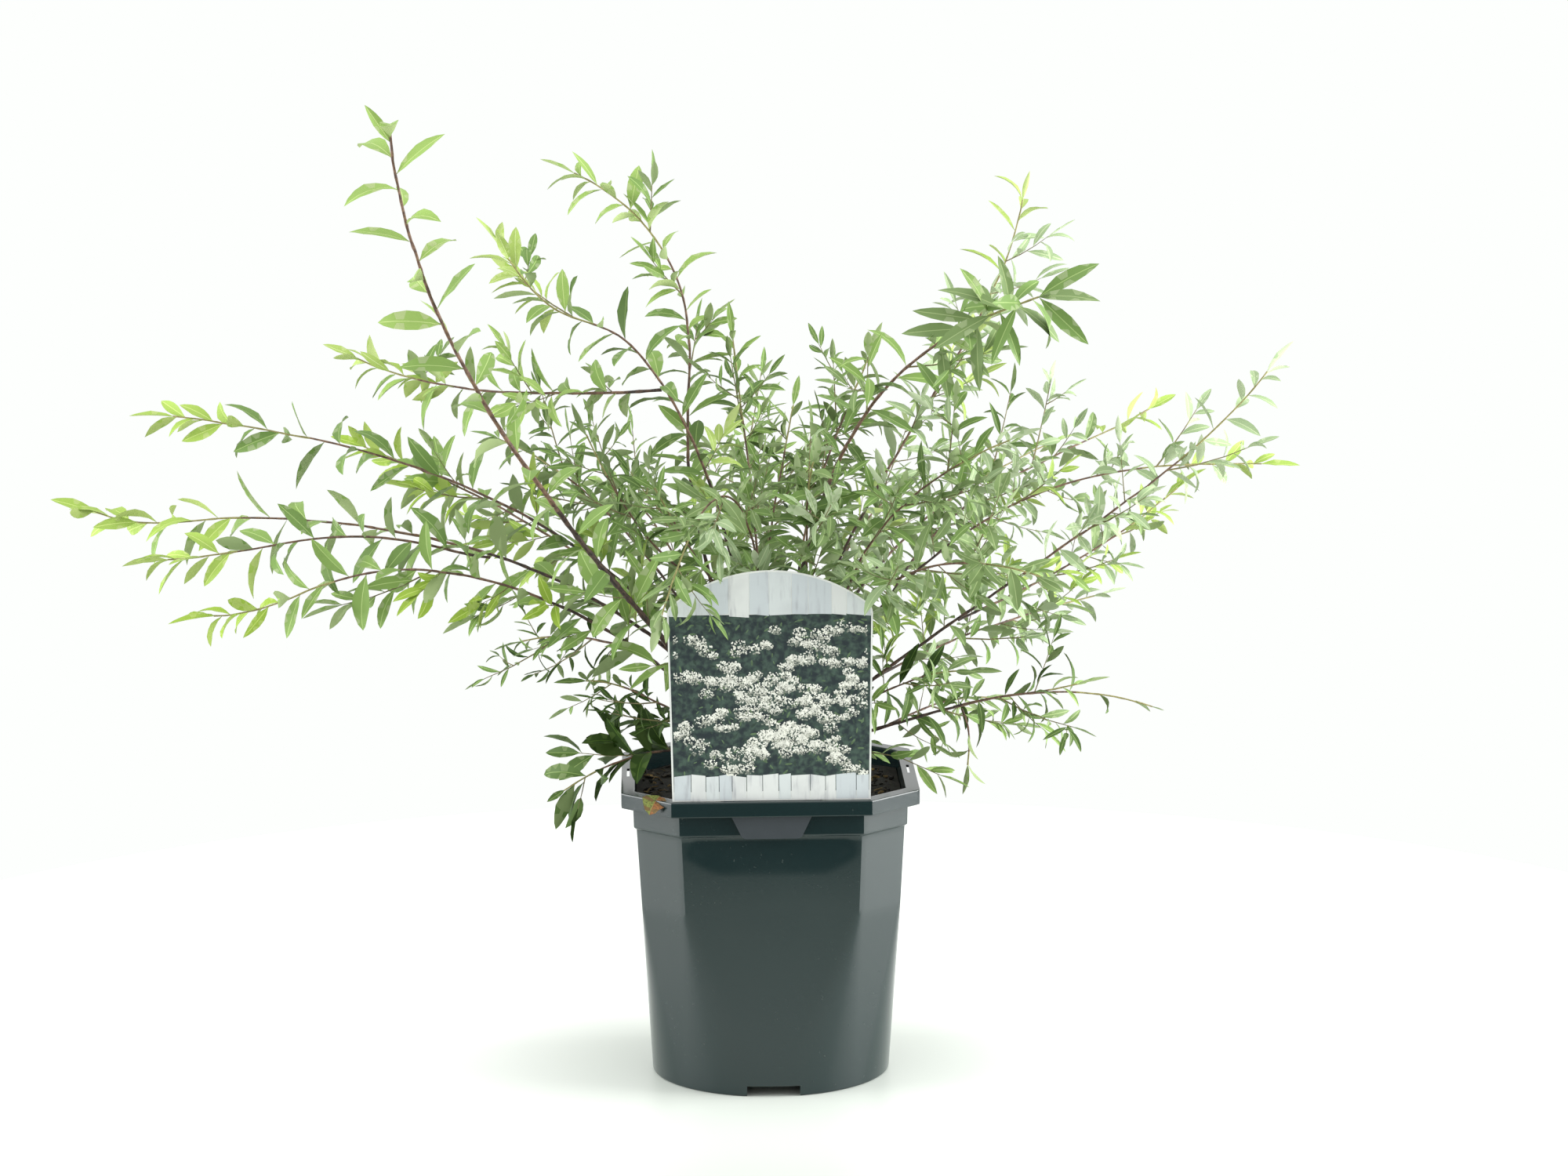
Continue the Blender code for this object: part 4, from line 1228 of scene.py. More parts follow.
CANES = (
    Cane("left_tall", 212, 0.270, 0.638, 46, 86, 0.34, swing=10, veer=30, hook=0.32, girth=0.0023,
         leaf=0.046, twigs=0),
    Cane("left_arch", 156, 0.156, 0.590, 66, 17, 0.40, swing=-6, bow=0.50, hook=0.31, girth=0.0020,
         leaf=0.034, twigs=3, twig=0.036),
    Cane("left_upper", 198, 0.191, 0.564, 82, 34, 0.62, swing=7, bow=0.57, hook=0.35,
         leaf=0.036, twigs=1),
    Cane("left_high", 173, 0.415, 0.430, 58, 6, 0.40, swing=-8, bow=0.44, hook=0.30, girth=0.0020,
         leaf=0.040, twigs=0),
    Cane("left_long", 181, 0.456, 0.386, 55, 14, 0.46, swing=6, bow=0.46, hook=0.26, girth=0.0021,
         leaf=0.040, twigs=0),
    Cane("left_low", 194, 0.388, 0.318, 46, -22, 0.40, swing=9, bow=0.50, hook=0.35, girth=0.0020,
         leaf=0.040, twigs=1),
    Cane("left_skirt", 205, 0.150, 0.262, 26, -35, swing=13, girth=0.0014, leaf=0.030),
    Cane("left_rim", 197, 0.150, 0.188, 14, -28, swing=-6, bow=0.5, girth=0.0014, leaf=0.036, twigs=1),
    Cane("right_tall", 325, 0.212, 0.520, 80, 18, 0.42, swing=5, bow=0.50, hook=0.42, girth=0.0023,
         leaf=0.048, twigs=2),
    Cane("right_upright", 25, 0.190, 0.578, 74, 90, 0.36, swing=-5, bow=0.48, hook=0.26, leaf=0.034,
         twigs=2),
    Cane("right_far", 355, 0.334, 0.480, 40, 62, 0.36, swing=-3, bow=0.42, hook=0.24, girth=0.0021,
         leaf=0.036, twigs=2),
    Cane("right_out", 7, 0.353, 0.386, 57, -4, 0.38, bow=0.54, hook=0.36, leaf=0.036, twigs=2),
    Cane("right_low", 356, 0.257, 0.236, 18, -22, 0.48, swing=-11, hook=0.35, girth=0.0021,
         leaf=0.030, twigs=0),
    Cane("right_under", 333, 0.165, 0.272, 35, -12, swing=-3, girth=0.0014, leaf=0.032),
    Cane("front_left", 242, 0.158, 0.300, 76, -60, swing=28, bow=1.25, hook=0.85, girth=0.0015,
         leaf=0.036),
    Cane("front_right", 315, 0.258, 0.346, 60, -12, 0.34, swing=-3, bow=0.52, hook=0.40,
         leaf=0.036, twigs=3),
    Cane("centre_tip", 123, 0.040, 0.500, 86, 80, swing=-23, girth=0.0014, leaf=0.032, twigs=4),
    Cane("back_left", 140, 0.255, 0.400, 55, 8, 0.34, swing=-5, bow=0.46, leaf=0.036, twigs=3),
    Cane("back_mid", 92, 0.300, 0.382, 58, 2, 0.34, bow=0.46, leaf=0.036, twigs=3),
    Cane("back_right", 44, 0.300, 0.385, 55, 10, 0.34, swing=4, bow=0.46, leaf=0.036, twigs=3),
    Cane("left_upper_fork", 173, 0.284, 0.480, -4, 44, bow=0.42, hook=0.24, girth=0.0013, leaf=0.034,
         twigs=1, host="left_upper", fork=0.585),
    Cane("centre_front", 222, 0.110, 0.412, 40, 52, girth=0.0013, leaf=0.032, twigs=3,
         host="left_upper", fork=0.20),
    Cane("centre_left", 182, 0.125, 0.440, 30, 62, swing=12, girth=0.0013, leaf=0.032, twigs=3,
         host="left_arch", fork=0.24),
    Cane("left_back", 156, 0.315, 0.402, 22, 14, swing=-22, girth=0.0014, leaf=0.036, twigs=2,
         host="left_high", fork=0.26),
    Cane("left_long_fork", 188, 0.412, 0.350, 0, 4, swing=24, bow=0.34, girth=0.0014, leaf=0.040,
         twigs=0, host="left_long", fork=0.42),
    Cane("left_under", 172, 0.180, 0.272, 8, -30, swing=-30, girth=0.0013, leaf=0.030,
         host="left_low", fork=0.24),
    Cane("front_high", 285, 0.125, 0.430, 74, 30, swing=-30, girth=0.0013, leaf=0.036, twigs=3,
         host="front_right", fork=0.20),
    Cane("front_mid", 326, 0.205, 0.436, 78, 20, swing=60, girth=0.0013, leaf=0.036, twigs=3,
         host="front_right", fork=0.30),
    Cane("centre_right", 39, 0.100, 0.482, 60, 66, swing=40, girth=0.0013, leaf=0.032, twigs=3,
         host="right_tall", fork=0.24),
    Cane("right_back", 30, 0.325, 0.420, 40, 28, swing=26, girth=0.0014, leaf=0.034, twigs=2,
         host="right_out", fork=0.28),
    Cane("right_tier", 15, 0.300, 0.385, 12, 48, swing=22, hook=0.24, girth=0.0014, leaf=0.034,
         twigs=2, host="right_far", fork=0.32),
    Cane("right_mid", 27, 0.275, 0.292, 10, 6, swing=24, girth=0.0014, leaf=0.032, twigs=2,
         host="right_far", fork=0.17),
    Cane("right_low_fork", 350, 0.222, 0.265, 20, 24, swing=-25, girth=0.0012, leaf=0.030, twigs=1,
         host="right_low", fork=0.42),
    Cane("right_skirt", 14, 0.168, 0.228, 14, -34, swing=24, girth=0.0012, leaf=0.030, twigs=1,
         host="right_low", fork=0.25),
    Cane("right_drop", 356, 0.128, 0.180, -62, -84, swing=-20, girth=0.0010, leaf=0.030, twigs=0,
         host="right_low", fork=0.455),
    Cane("back_mid_left", 116, 0.270, 0.350, 24, -16, swing=-20, girth=0.0013, leaf=0.036, twigs=3,
         host="back_left", fork=0.22),
    Cane("back_high", 78, 0.120, 0.440, 80, 48, girth=0.0013, leaf=0.032, twigs=4,
         host="back_mid", fork=0.20),
    Cane("back_low", 104, 0.190, 0.270, 4, -30, swing=28, girth=0.0013, leaf=0.032, twigs=2,
         host="back_mid", fork=0.14),
    Cane("back_mid_right", 66, 0.280, 0.340, 22, -16, swing=24, girth=0.0013, leaf=0.036, twigs=3,
         host="back_right", fork=0.22),
)


@dataclass(frozen=True)
class Habit:
    """How a cane shows its stem and carries its leaves.

    leaf is the leaves' length as a share of the cane's own, spacing the way from one to the next
    as a share of that length, and slender the least and greatest width as shares of it. Over
    the last stretch, crown, leaves get smaller by shrink and closer by crowd, and their angle to
    the stem goes from the first spread to the second. heel and end are the stem's radius at its
    foot, as a share of the solid's, and at its tip. last is how far the last leaf carries on, and
    sprigs the share of the length that bears side shoots.
    """

    tints: tuple[Tint, ...] = (Tint.SHADE, Tint.MID, Tint.MID, Tint.GREY)
    tips: tuple[Tint, ...] = (Tint.MID, Tint.CLEAR)
    leaf: float = 0.83
    spacing: float = 0.31
    slender: tuple[float, float] = (0.19, 0.27)
    shrink: float = 0.36
    crowd: float = 0.45
    crown: float = 0.060
    spread: tuple[float, float] = (62.0, 36.0)
    start: float = 0.26
    heel: float = 0.66
    end: float = 0.00045
    last: float = 0.75
    sprigs: float = 1.0
    blunt: bool = False


LEFT_ARM = Habit((Tint.CLEAR, Tint.CLEAR, Tint.MID), (Tint.LIME, Tint.FRESH), leaf=0.91, spacing=0.30,
                 slender=(0.26, 0.33), crowd=0.52, crown=0.100, spread=(56.0, 30.0))
# Painted light: the upper left arches take the paler lit copy of the clear green among their tints.
HIGH_ARCH = Habit((Tint.CLEAR, Tint.BRIGHT, Tint.MID), (Tint.FRESH, Tint.TIP), leaf=0.90, spacing=0.23,
                  slender=(0.25, 0.34), heel=0.78, spread=(58.0, 30.0), sprigs=0.50)
ARCH = Habit((Tint.CLEAR, Tint.MID), (Tint.CLEAR, Tint.BRIGHT), leaf=0.92, spacing=0.23,
             slender=(0.23, 0.32), heel=0.78, spread=(58.0, 30.0), sprigs=0.50)
# Painted light: the front and outer right canes take the pale hazy copy of the grey green among their tints.
FRONT = Habit((Tint.GREY, Tint.MID, Tint.LIT_GREY), (Tint.LIT_GREY, Tint.GREY), slender=(0.23, 0.32))
FAR_RIGHT = Habit((Tint.LIT_GREY, Tint.GREY, Tint.LIT_GREY), (Tint.FRESH, Tint.LIT_GREY), leaf=0.74, spacing=0.38,
                  slender=(0.25, 0.36), heel=0.58)
LOW_RIGHT = Habit((Tint.MID, Tint.SHADE, Tint.CLEAR), (Tint.CLEAR, Tint.GREY), leaf=0.86, spacing=0.36,
                  heel=0.60)
# Painted shade: the low left canes take the darker tints.
LOW_LEFT = Habit((Tint.SHADE, Tint.SHADED_DEEP), (Tint.MID, Tint.SHADE), leaf=0.72, spacing=0.56)

HABITS: dict[str, Habit] = {
    "left_tall": Habit((Tint.CLEAR,), (Tint.BRIGHT,), leaf=0.86, spacing=0.27, slender=(0.22, 0.34),
                       shrink=0.05, crowd=0.0, spread=(60.0, 48.0), start=0.20, heel=0.95, end=0.0008,
                       last=0.28, blunt=True),
    "right_tall": Habit((Tint.MID, Tint.GREY), (Tint.MID,), leaf=0.74, spacing=0.27,
                        slender=(0.21, 0.27), shrink=-0.20, crowd=0.20, spread=(60.0, 82.0), start=0.22,
                        heel=0.85, end=0.0006, last=0.2, sprigs=0.40),
    "right_upright": Habit((Tint.LIT_GREY,), (Tint.TIP,), leaf=1.0, spacing=0.24, slender=(0.17, 0.25),
                           shrink=0.2, crowd=0.2, last=0.6),
    # Painted shade: the rim cane's leaves take the darkest tint.
    "left_rim": Habit((Tint.SHADED_DEEP,), (Tint.SHADE, Tint.SHADED_DEEP), leaf=0.98, spacing=0.36, slender=(0.31, 0.38),
                      shrink=0.1, crowd=0.2, last=0.4),
    "left_high": LEFT_ARM, "left_long": LEFT_ARM, "left_low": LEFT_ARM, "left_long_fork": LEFT_ARM,
    "left_back": LEFT_ARM, "left_arch": ARCH, "left_upper": HIGH_ARCH, "left_upper_fork": HIGH_ARCH,
    "front_left": FRONT, "front_mid": FRONT, "front_high": FRONT, "front_right": FRONT,
    "right_far": FAR_RIGHT, "right_out": FAR_RIGHT, "right_back": FAR_RIGHT, "right_tier": FAR_RIGHT,
    "right_mid": FAR_RIGHT, "right_skirt": LOW_RIGHT, "right_low_fork": LOW_RIGHT, "right_under": LOW_RIGHT,
    "right_drop": Habit((Tint.MID, Tint.CLEAR), (Tint.CLEAR,), leaf=0.95, spacing=0.50, crowd=0.2),
    "right_low": Habit((Tint.MID, Tint.SHADE), (Tint.GREY,), leaf=0.90, spacing=0.75, shrink=0.2, crowd=0.0,
                       heel=0.62, last=0.3),
    "left_skirt": LOW_LEFT, "left_under": LOW_LEFT,
}
SIDE_HABITS: dict[str, Habit] = {"right_tall": Habit((Tint.MID, Tint.GREY), (Tint.CLEAR, Tint.GREY))}
SWAYS = {
    "left_arch": (Vector((0.017, 0.0, 0.004)), 0.50),
    "left_upper": (Vector((-0.004, 0.0, -0.020)), 0.60),
    "left_low": (Vector((0.0, 0.0, -0.015)), 0.76),
    "left_long": (Vector((0.0, 0.0, -0.011)), 0.80),
    "left_long_fork": (Vector((0.0, 0.0, 0.018)), 0.38),
}
# Painted light: the paler copy of each tint, for leaves high in the crown.
PAINTED_LIGHT_TINT = {Tint.SHADED_DEEP: Tint.SHADE, Tint.SHADE: Tint.MID, Tint.MID: Tint.CLEAR, Tint.CLEAR: Tint.BRIGHT,
         Tint.GREY: Tint.LIT_GREY}
# Painted shade: the darker copy of each tint, for leaves low down and near the axis.
PAINTED_SHADE_TINT = {Tint.CLEAR: Tint.MID, Tint.MID: Tint.SHADE, Tint.SHADE: Tint.SHADED_DEEP, Tint.GREY: Tint.MID,
          Tint.LIT_GREY: Tint.GREY, Tint.FRESH: Tint.CLEAR, Tint.BRIGHT: Tint.CLEAR}

GAP = 0.0003
STEM_HEAD_RADIUS = 0.018
STEM_HEAD_HEIGHT = 0.203
STEM_TIP_RADIUS = 0.0008
TWIG_SPREAD = 42.0
TWIG_MARGIN = 0.004
TIP_LEAF_SHARE = 0.75
GOLDEN_ANGLE = 137.5
LIMB_CLEARANCE = 0.0035
THING_CLEARANCE = 0.004
SAMPLES = 48


def heading(bearing: float, slope: float) -> Vector:
    """Unit vector of a bearing and a slope in degrees."""
    turn, tilt = radians(bearing), radians(slope)
    return Vector((cos(turn) * cos(tilt), sin(turn) * cos(tilt), sin(tilt)))


def side_of(way: Vector) -> Vector:
    """A unit vector square to a direction."""
    guide = UP if abs(way.z) < 0.9 else Vector((1.0, 0.0, 0.0))
    return way.cross(guide).normalized()


def squared(face: Vector, way: Vector) -> Vector:
    """The unit vector nearest to one direction that is square to another."""
    return (face - way * face.dot(way)).normalized()


def random_angle(rng: Random, low: float, high: float) -> float:
    """A random angle in radians between two in degrees."""
    return radians(rng.uniform(low, high))


def spun(way: Vector, spread: float, turn: float) -> Vector:
    """A direction that leaves another at an angle, on a given side of it.

    Args:
        way: The direction that it leaves.
        spread: The angle between them in degrees.
        turn: The side that it leaves to, in degrees round the direction.

    Returns:
        The new direction.
    """
    side = side_of(way)
    lift = way.cross(side)
    out = side * cos(radians(turn)) + lift * sin(radians(turn))
    tilt = radians(spread)
    return (way * cos(tilt) + out * sin(tilt)).normalized()


def twig_points(root: Vector, way: Vector, length: float) -> list[Vector]:
    """Points of a twig that turns up a little as it grows.

    Args:
        root: Where it grows from.
        way: How it sets off.
        length: Its length.

    Returns:
        Its four points.
    """
    points = [root]
    for step in range(1, 4):
        bent = (way + UP * (0.10 * step)).normalized()
        points.append(points[-1] + bent * (length / 3.0))
    return points


def limb_radius(cane: Cane, share: float) -> float:
    """Radius of a cane's solid at a share of its length, tapering from its girth to its tip."""
    return cane.girth + (STEM_TIP_RADIUS - cane.girth) * share


def habit_of(cane: Cane) -> Habit:
    """The habit of a cane."""
    return HABITS.get(cane.name, Habit())


def side_habit_of(cane: Cane) -> Habit:
    """The habit of a cane's twigs and sprigs."""
    return SIDE_HABITS.get(cane.name, habit_of(cane))


def shown_radius(cane: Cane, share: float) -> float:
    """Radius of a cane as it shows, slimmer than its solid."""
    habit = habit_of(cane)
    return habit.end + (cane.girth * habit.heel - habit.end) * (1.0 - share) ** 1.3


class Run:
    """A smooth curve read by its share of length."""

    def __init__(self, controls: list[Vector]) -> None:
        """Sample a cubic curve.

        Args:
            controls: Its four control points.
        """
        self.points = []
        for i in range(SAMPLES + 1):
            t = i / SAMPLES
            s = 1.0 - t
            weights = (s ** 3, 3.0 * s * s * t, 3.0 * s * t * t, t ** 3)
            parts = (control * weight for control, weight in zip(controls, weights))
            self.points.append(sum(parts, Vector()))
        self.measure()

    def measure(self) -> None:
        """Mark the length run at each point."""
        self.marks = [0.0]
        for before, after in zip(self.points, self.points[1:]):
            self.marks.append(self.marks[-1] + (after - before).length)
        self.length = self.marks[-1]

    def stray(self, start: float, sway: Vector, peak: float) -> None:
        """Bend the part past a start aside, most at its peak and not at all at its ends.

        Args:
            start: Share of the length where the bend sets in.
            sway: How far it bends, and which way.
            peak: Where it bends most, as a share of the part.
        """
        power = log(0.5) / log(peak)
        for i, mark in enumerate(self.marks):
            part = (mark / self.length - start) / (1.0 - start)
            if part > 0.0:
                self.points[i] = self.points[i] + sway * sin(pi * part ** power) ** 2
        self.measure()

    def at(self, share: float) -> Vector:
        """Point at a share of the length.

        Args:
            share: The share, held between 0 and 1.

        Returns:
            The point.
        """
        goal = min(max(share, 0.0), 1.0) * self.length
        for i in range(1, len(self.marks)):
            if goal <= self.marks[i] or i == len(self.marks) - 1:
                part = (goal - self.marks[i - 1]) / (self.marks[i] - self.marks[i - 1])
                return self.points[i - 1].lerp(self.points[i], part)
        return self.points[-1]

    def way(self, share: float) -> Vector:
        """Direction at a share of the length."""
        return (self.at(share + 0.01) - self.at(share - 0.01)).normalized()


def cane_run(cane: Cane, runs: dict[str, Run]) -> Run:
    """Curve of a cane from the short stem's head, or from its host's side, to its tip.

    Args:
        cane: The cane.
        runs: The curves made so far, its host's among them.

    Returns:
        The curve.
    """
    turn = radians(cane.bearing)
    tip = Vector((cane.reach * cos(turn), cane.reach * sin(turn), cane.height))
    leaving = heading(cane.bearing + cane.swing, cane.rise)
    if cane.host:
        host = next(other for other in CANES if other.name == cane.host)
        cosine = abs(runs[cane.host].way(cane.fork).dot(leaving))
        sine = sqrt(1.0 - cosine * cosine)
        stand_off = (limb_radius(host, cane.fork) + GAP + cane.girth * cosine) / sine
        foot = runs[cane.host].at(cane.fork) + leaving * stand_off
    else:
        foot = Vector((0.0, 0.0, STEM_HEAD_HEIGHT)) + leaving * (STEM_HEAD_RADIUS + GAP)
    span = (tip - foot).length
    arriving = heading(cane.bearing + cane.veer, cane.nod)
    return Run([foot, foot + leaving * span * cane.bow, tip - arriving * span * cane.hook, tip])


class Ground:
    """Knows which limb each place is nearest to, and what stands in the way."""

    def __init__(self, label: Label) -> None:
        """Start with no limbs.

        Args:
            label: The label, which knows its pot.
        """
        self.label = label
        self.points = np.zeros((0, 3))
        self.owners = np.zeros(0, dtype=int)

    def add(self, owner: int, points: Sequence[Vector]) -> None:
        """Add points along a limb of an owner."""
        self.points = np.vstack([self.points, np.array([tuple(point) for point in points])])
        self.owners = np.concatenate([self.owners, np.full(len(points), owner)])

    def reach(self, points: Sequence[Vector]) -> np.ndarray:
        """Distance from each of some points to each point of the limbs."""
        places = np.array([tuple(point) for point in points])
        return np.linalg.norm(places[:, None, :] - self.points[None, :, :], axis=2)

    def keeps(self, owner: int, points: Sequence[Vector], margin: float) -> bool:
        """Whether all points are nearer to the owner's limbs than to any other's.

        Args:
            owner: The owner.
            points: The points.
            margin: By how much they have to be nearer.

        Returns:
            Whether they are, and are clear of the others.
        """
        reach = self.reach(points)
        own = reach[:, self.owners == owner].min(axis=1)
        others = reach[:, self.owners != owner].min(axis=1)
        return bool(np.all(own + margin < others) and np.all(others > LIMB_CLEARANCE))

    def free(self, points: Sequence[Vector], clearance: float) -> bool:
        """Whether all points keep a clearance to every limb."""
        return bool(np.all(self.reach(points) > clearance))

    def in_the_way(self, point: Vector, clear: float = THING_CLEARANCE) -> bool:
        """Whether a point touches the pot, the mix, the short stem or the label.

        Args:
            point: The point.
            clear: The clearance that it has to keep.

        Returns:
            Whether it is too close to one of them.
        """
        label, pot = self.label, self.label.pot
        over_pot = max(abs(point.x), abs(point.y)) < pot.rim_half + clear
        if over_pot and point.z < pot.height + clear:
            return True
        if (point - UP * STEM_HEAD_HEIGHT).length < STEM_HEAD_RADIUS + clear:
            return True
        near = abs(point.y - label.plane) < 1.5 * clear and point.z < pot.height + label.peak + clear
        return near and abs(point.x) < label.width / 2.0 + clear


@dataclass
class Leaf:
    """One leaf: its root, the way it points, the way its upper face looks, and its form."""

    root: Vector
    way: Vector
    face: Vector
    length: float
    width: float
    curl: float
    fold: float
    twist: float
    phase: float


@dataclass
class Shoot:
    """One woody axis that carries leaves: a cane, a twig or a sprig."""

    owner: int
    cane: Cane
    points: list[Vector]
    radii: list[float]
    leaf: float
    first: float
    tint: Tint
    tip_tint: Tint
    is_cane: bool = False

    @property
    def length(self) -> float:
        """Length along its points."""
        return sum((high - low).length for low, high in zip(self.points, self.points[1:]))

    @property
    def habit(self) -> Habit:
        """The habit that its leaves follow."""
        return habit_of(self.cane) if self.is_cane else side_habit_of(self.cane)


@dataclass
class LeafPress:
    """Shapes leaves: folded along the rib, arched, a little twisted and wavy at the margin."""

    stations: tuple = (0.07, 0.20, 0.36, 0.54, 0.72, 0.88)
    widths: tuple = (0.13, 0.58, 0.92, 1.0, 0.80, 0.44)
    rib: float = 0.00026
    thickness: float = 0.00032
    wave: float = 0.07
    waves: float = 14.0
    twist_root: float = 0.3
    widest_rib: float = 0.4

    def faces(self) -> tuple[list[tuple], list[int]]:
        """Faces of one leaf, and the finish of each: 0 upper, 1 underside, 2 rib.

        Returns:
            The faces, and as many marks.
        """
        left, inner_left, inner_right, right, below = range(5)
        last = len(self.stations) - 1
        root, tip = 0, 1 + 5 * len(self.stations)
        strips = ((left, inner_left, 0), (inner_left, inner_right, 2), (inner_right, right, 0),
                  (right, below, 1), (below, left, 1))
        faces, marks = [], []
        for a, b, mark in strips:
            faces.append((root, 1 + a, 1 + b))
            faces.append((1 + 5 * last + b, 1 + 5 * last + a, tip))
            marks += [mark, mark]
            for k in range(last):
                low, high = 1 + 5 * k, 1 + 5 * (k + 1)
                faces.append((low + a, high + a, high + b, low + b))
                marks.append(mark)
        return faces, marks

    def press(self, leaves: Sequence[Leaf]) -> np.ndarray:
        """Points of every leaf, as one array.

        Args:
            leaves: The leaves.

        Returns:
            Their points, leaf by leaf.
        """
        root, way, face = (np.array([tuple(getattr(leaf, part)) for leaf in leaves])
                           for part in ("root", "way", "face"))
        across = np.cross(face, way)
        form = np.array([(leaf.length, leaf.width, leaf.curl, leaf.fold, leaf.twist, leaf.phase)
                         for leaf in leaves])
        length, width, curl, fold, twist, phase = (form[:, i:i + 1] for i in range(6))
        rows = [root]
        centre = root.copy()
        before = 0.0
        for u, share in zip(self.stations, self.widths):
            middle = curl * (u + before) / 2.0
            centre = centre + (way * np.cos(middle) - face * np.sin(middle)) * length * (u - before)
            bend = curl * u
            up = face * np.cos(bend) + way * np.sin(bend)
            turn = twist * (u - self.twist_root)
            side = across * np.cos(turn) + up * np.sin(turn)
            up = up * np.cos(turn) - across * np.sin(turn)
            half = width * share / 2.0
            ripple = up * (self.wave * half * np.sin(u * self.waves + phase))
            rib = side * np.minimum(self.rib, half * self.widest_rib)
            flap = side * half * np.cos(fold)
            rise = up * half * np.sin(fold)
            rows += [centre - flap + rise + ripple, centre - rib, centre + rib, centre + flap + rise - ripple,
                     centre - up * self.thickness]
            before = u
        ending = curl * (1.0 + before) / 2.0
        rows.append(centre + (way * np.cos(ending) - face * np.sin(ending)) * length * (1.0 - before))
        return np.stack(rows, axis=1)


@dataclass
class Crown:
    """Canes, twigs and sprigs by the shrub's own rule, and the leaves along them.

    cane_relief and twig_relief are how many sides a limb has and its relief. Each form is a side
    shoot's radius and its leaves' size. cane_sprigs and twig_sprigs are the share of a shoot that bears
    sprigs, where it starts, and the sprigs' lengths. ripe and soft are the shares of a cane where old
    wood ends and green wood starts.
    """

    label: Label
    cane_step: float = 0.0036
    least_steps: int = 12
    joint: int = 4
    joint_swell: float = 0.18
    uneven: float = 0.05
    kink: float = 0.00045
    kink_ease: float = 0.35
    straight_steps: float = 8.0
    cane_relief: tuple = (9, 0.08)
    twig_relief: tuple = (5, 0.05)
    ripe: float = 0.46
    fork_ripe: float = 0.12
    soft: float = 0.80
    twig_form: tuple = (0.00062, 0.92)
    twig_tries: int = 6
    sprig_form: tuple = (0.00042, 0.88)
    sprig_step: float = 0.025
    sprig_reach: float = 0.235
    bare_arm_start: float = 0.12
    sprig_spread: float = 60.0
    cane_sprigs: tuple = (0.86, 0.14, (0.018, 0.040))
    twig_sprigs: tuple = (0.7, 0.25, (0.014, 0.026))
    sprig_tries: int = 4
    sprig_clearance: float = 0.008
    sprig_margin: float = 0.0005
    fresh_tips: float = 0.4
    fork_leaf_start: float = 0.10
    side_leaf_start: float = 0.12
    bare_spacing: float = 1.35
    leaf_tries: int = 4
    leaf_clearance: float = 0.0022
    mood: float = 0.55
    twist: float = 0.45
    rim_twig: tuple = ((0.016, -0.008, 0.207), (0.052, -0.040, 0.219), (0.082, -0.052, 0.216),
                       (0.108, -0.058, 0.205))
    rim_twig_form: tuple = (0.00062, 1.05)
    rim_twig_owner: str = "right_skirt"
    fan_cane: str = "right_tall"
    fan: tuple = ((0.000, 37, 12, 0.044), (0.001, 14, 34, 0.041), (0.000, -44, 8, 0.043),
                  (0.017, -30, -12, 0.041), (0.016, -121, 22, 0.041), (0.022, 94, 38, 0.038),
                  (0.026, 148, 8, 0.044), (0.020, 176, -24, 0.041), (0.036, -158, 24, 0.043),
                  (0.048, -92, 18, 0.044), (0.046, 168, 14, 0.043), (0.060, 176, 30, 0.040),
                  (0.034, 118, -40, 0.036), (0.078, -86, 26, 0.038))
    fan_tints: tuple = (Tint.GREY, Tint.MID, Tint.GREY)
    barks: tuple = (("canes_old_wood", Bark("bark_old", paint(40, 29, 26), paint(80, 58, 48))),
                    ("canes_young_wood", Bark("bark_young", paint(78, 56, 46), paint(122, 94, 74))),
                    ("canes_green_wood", Bark("bark_green", paint(122, 116, 70), paint(150, 144, 92))),
                    ("twigs", Bark("bark_twig", paint(92, 84, 54), paint(128, 120, 78))))
    # Painted light: leaves above this height take a paler copy, more often the higher they are.
    painted_light_above: float = 0.43
    # Painted shade: leaves below this height, and half the leaves within the next reach of the axis, take a
    # darker copy.
    painted_shade_below: float = 0.30
    heart: float = 0.13

    def __post_init__(self) -> None:
        """Lay every curve out."""
        self.runs: dict[str, Run] = {}
        for cane in CANES:
            self.runs[cane.name] = cane_run(cane, self.runs)
        for cane in CANES:
            if cane.name in SWAYS:
                self.runs[cane.name].stray(cane.bare, *SWAYS[cane.name])
        self.ground = Ground(self.label)
        for index, cane in enumerate(CANES):
            run = self.runs[cane.name]
            self.ground.add(index, [run.at(i / SAMPLES) for i in range(SAMPLES + 1)])
        self.shoots: list[Shoot] = []
        self.leaves: dict[Tint, list[Leaf]] = {tint: [] for tint in Tint}

    def stem_end(self, cane: Cane, last: float = TIP_LEAF_SHARE) -> float:
        """Share of the length where the stem ends and its last leaf carries on."""
        return 1.0 - last * cane.leaf / self.runs[cane.name].length

    def grow_canes(self) -> None:
        """Canes with a slight kink at each joint."""
        for index, cane in enumerate(CANES):
            rng = Random(SEED * 300 + index)
            run = self.runs[cane.name]
            habit = habit_of(cane)
            end = self.stem_end(cane, habit.last)
            count = max(int(end * run.length / self.cane_step), self.least_steps)
            points, radii = [], []
            drift = Vector()
            for i in range(count + 1):
                share = end * i / count
                at_joint = i % self.joint == 0
                if at_joint:
                    push = Vector([rng.uniform(-1, 1) for _ in range(3)]) * self.kink
                drift = drift.lerp(push, self.kink_ease)
                points.append(run.at(share) + drift * min(i / self.straight_steps, 1.0))
                swell = 1.0 + self.joint_swell * at_joint + rng.uniform(-self.uneven, self.uneven)
                radii.append(shown_radius(cane, share) * swell)
            first = self.fork_leaf_start if cane.host else habit.start
            self.shoots.append(Shoot(index, cane, points, radii, cane.leaf * habit.leaf, first,
                                     rng.choice(habit.tints), rng.choice(habit.tips), True))

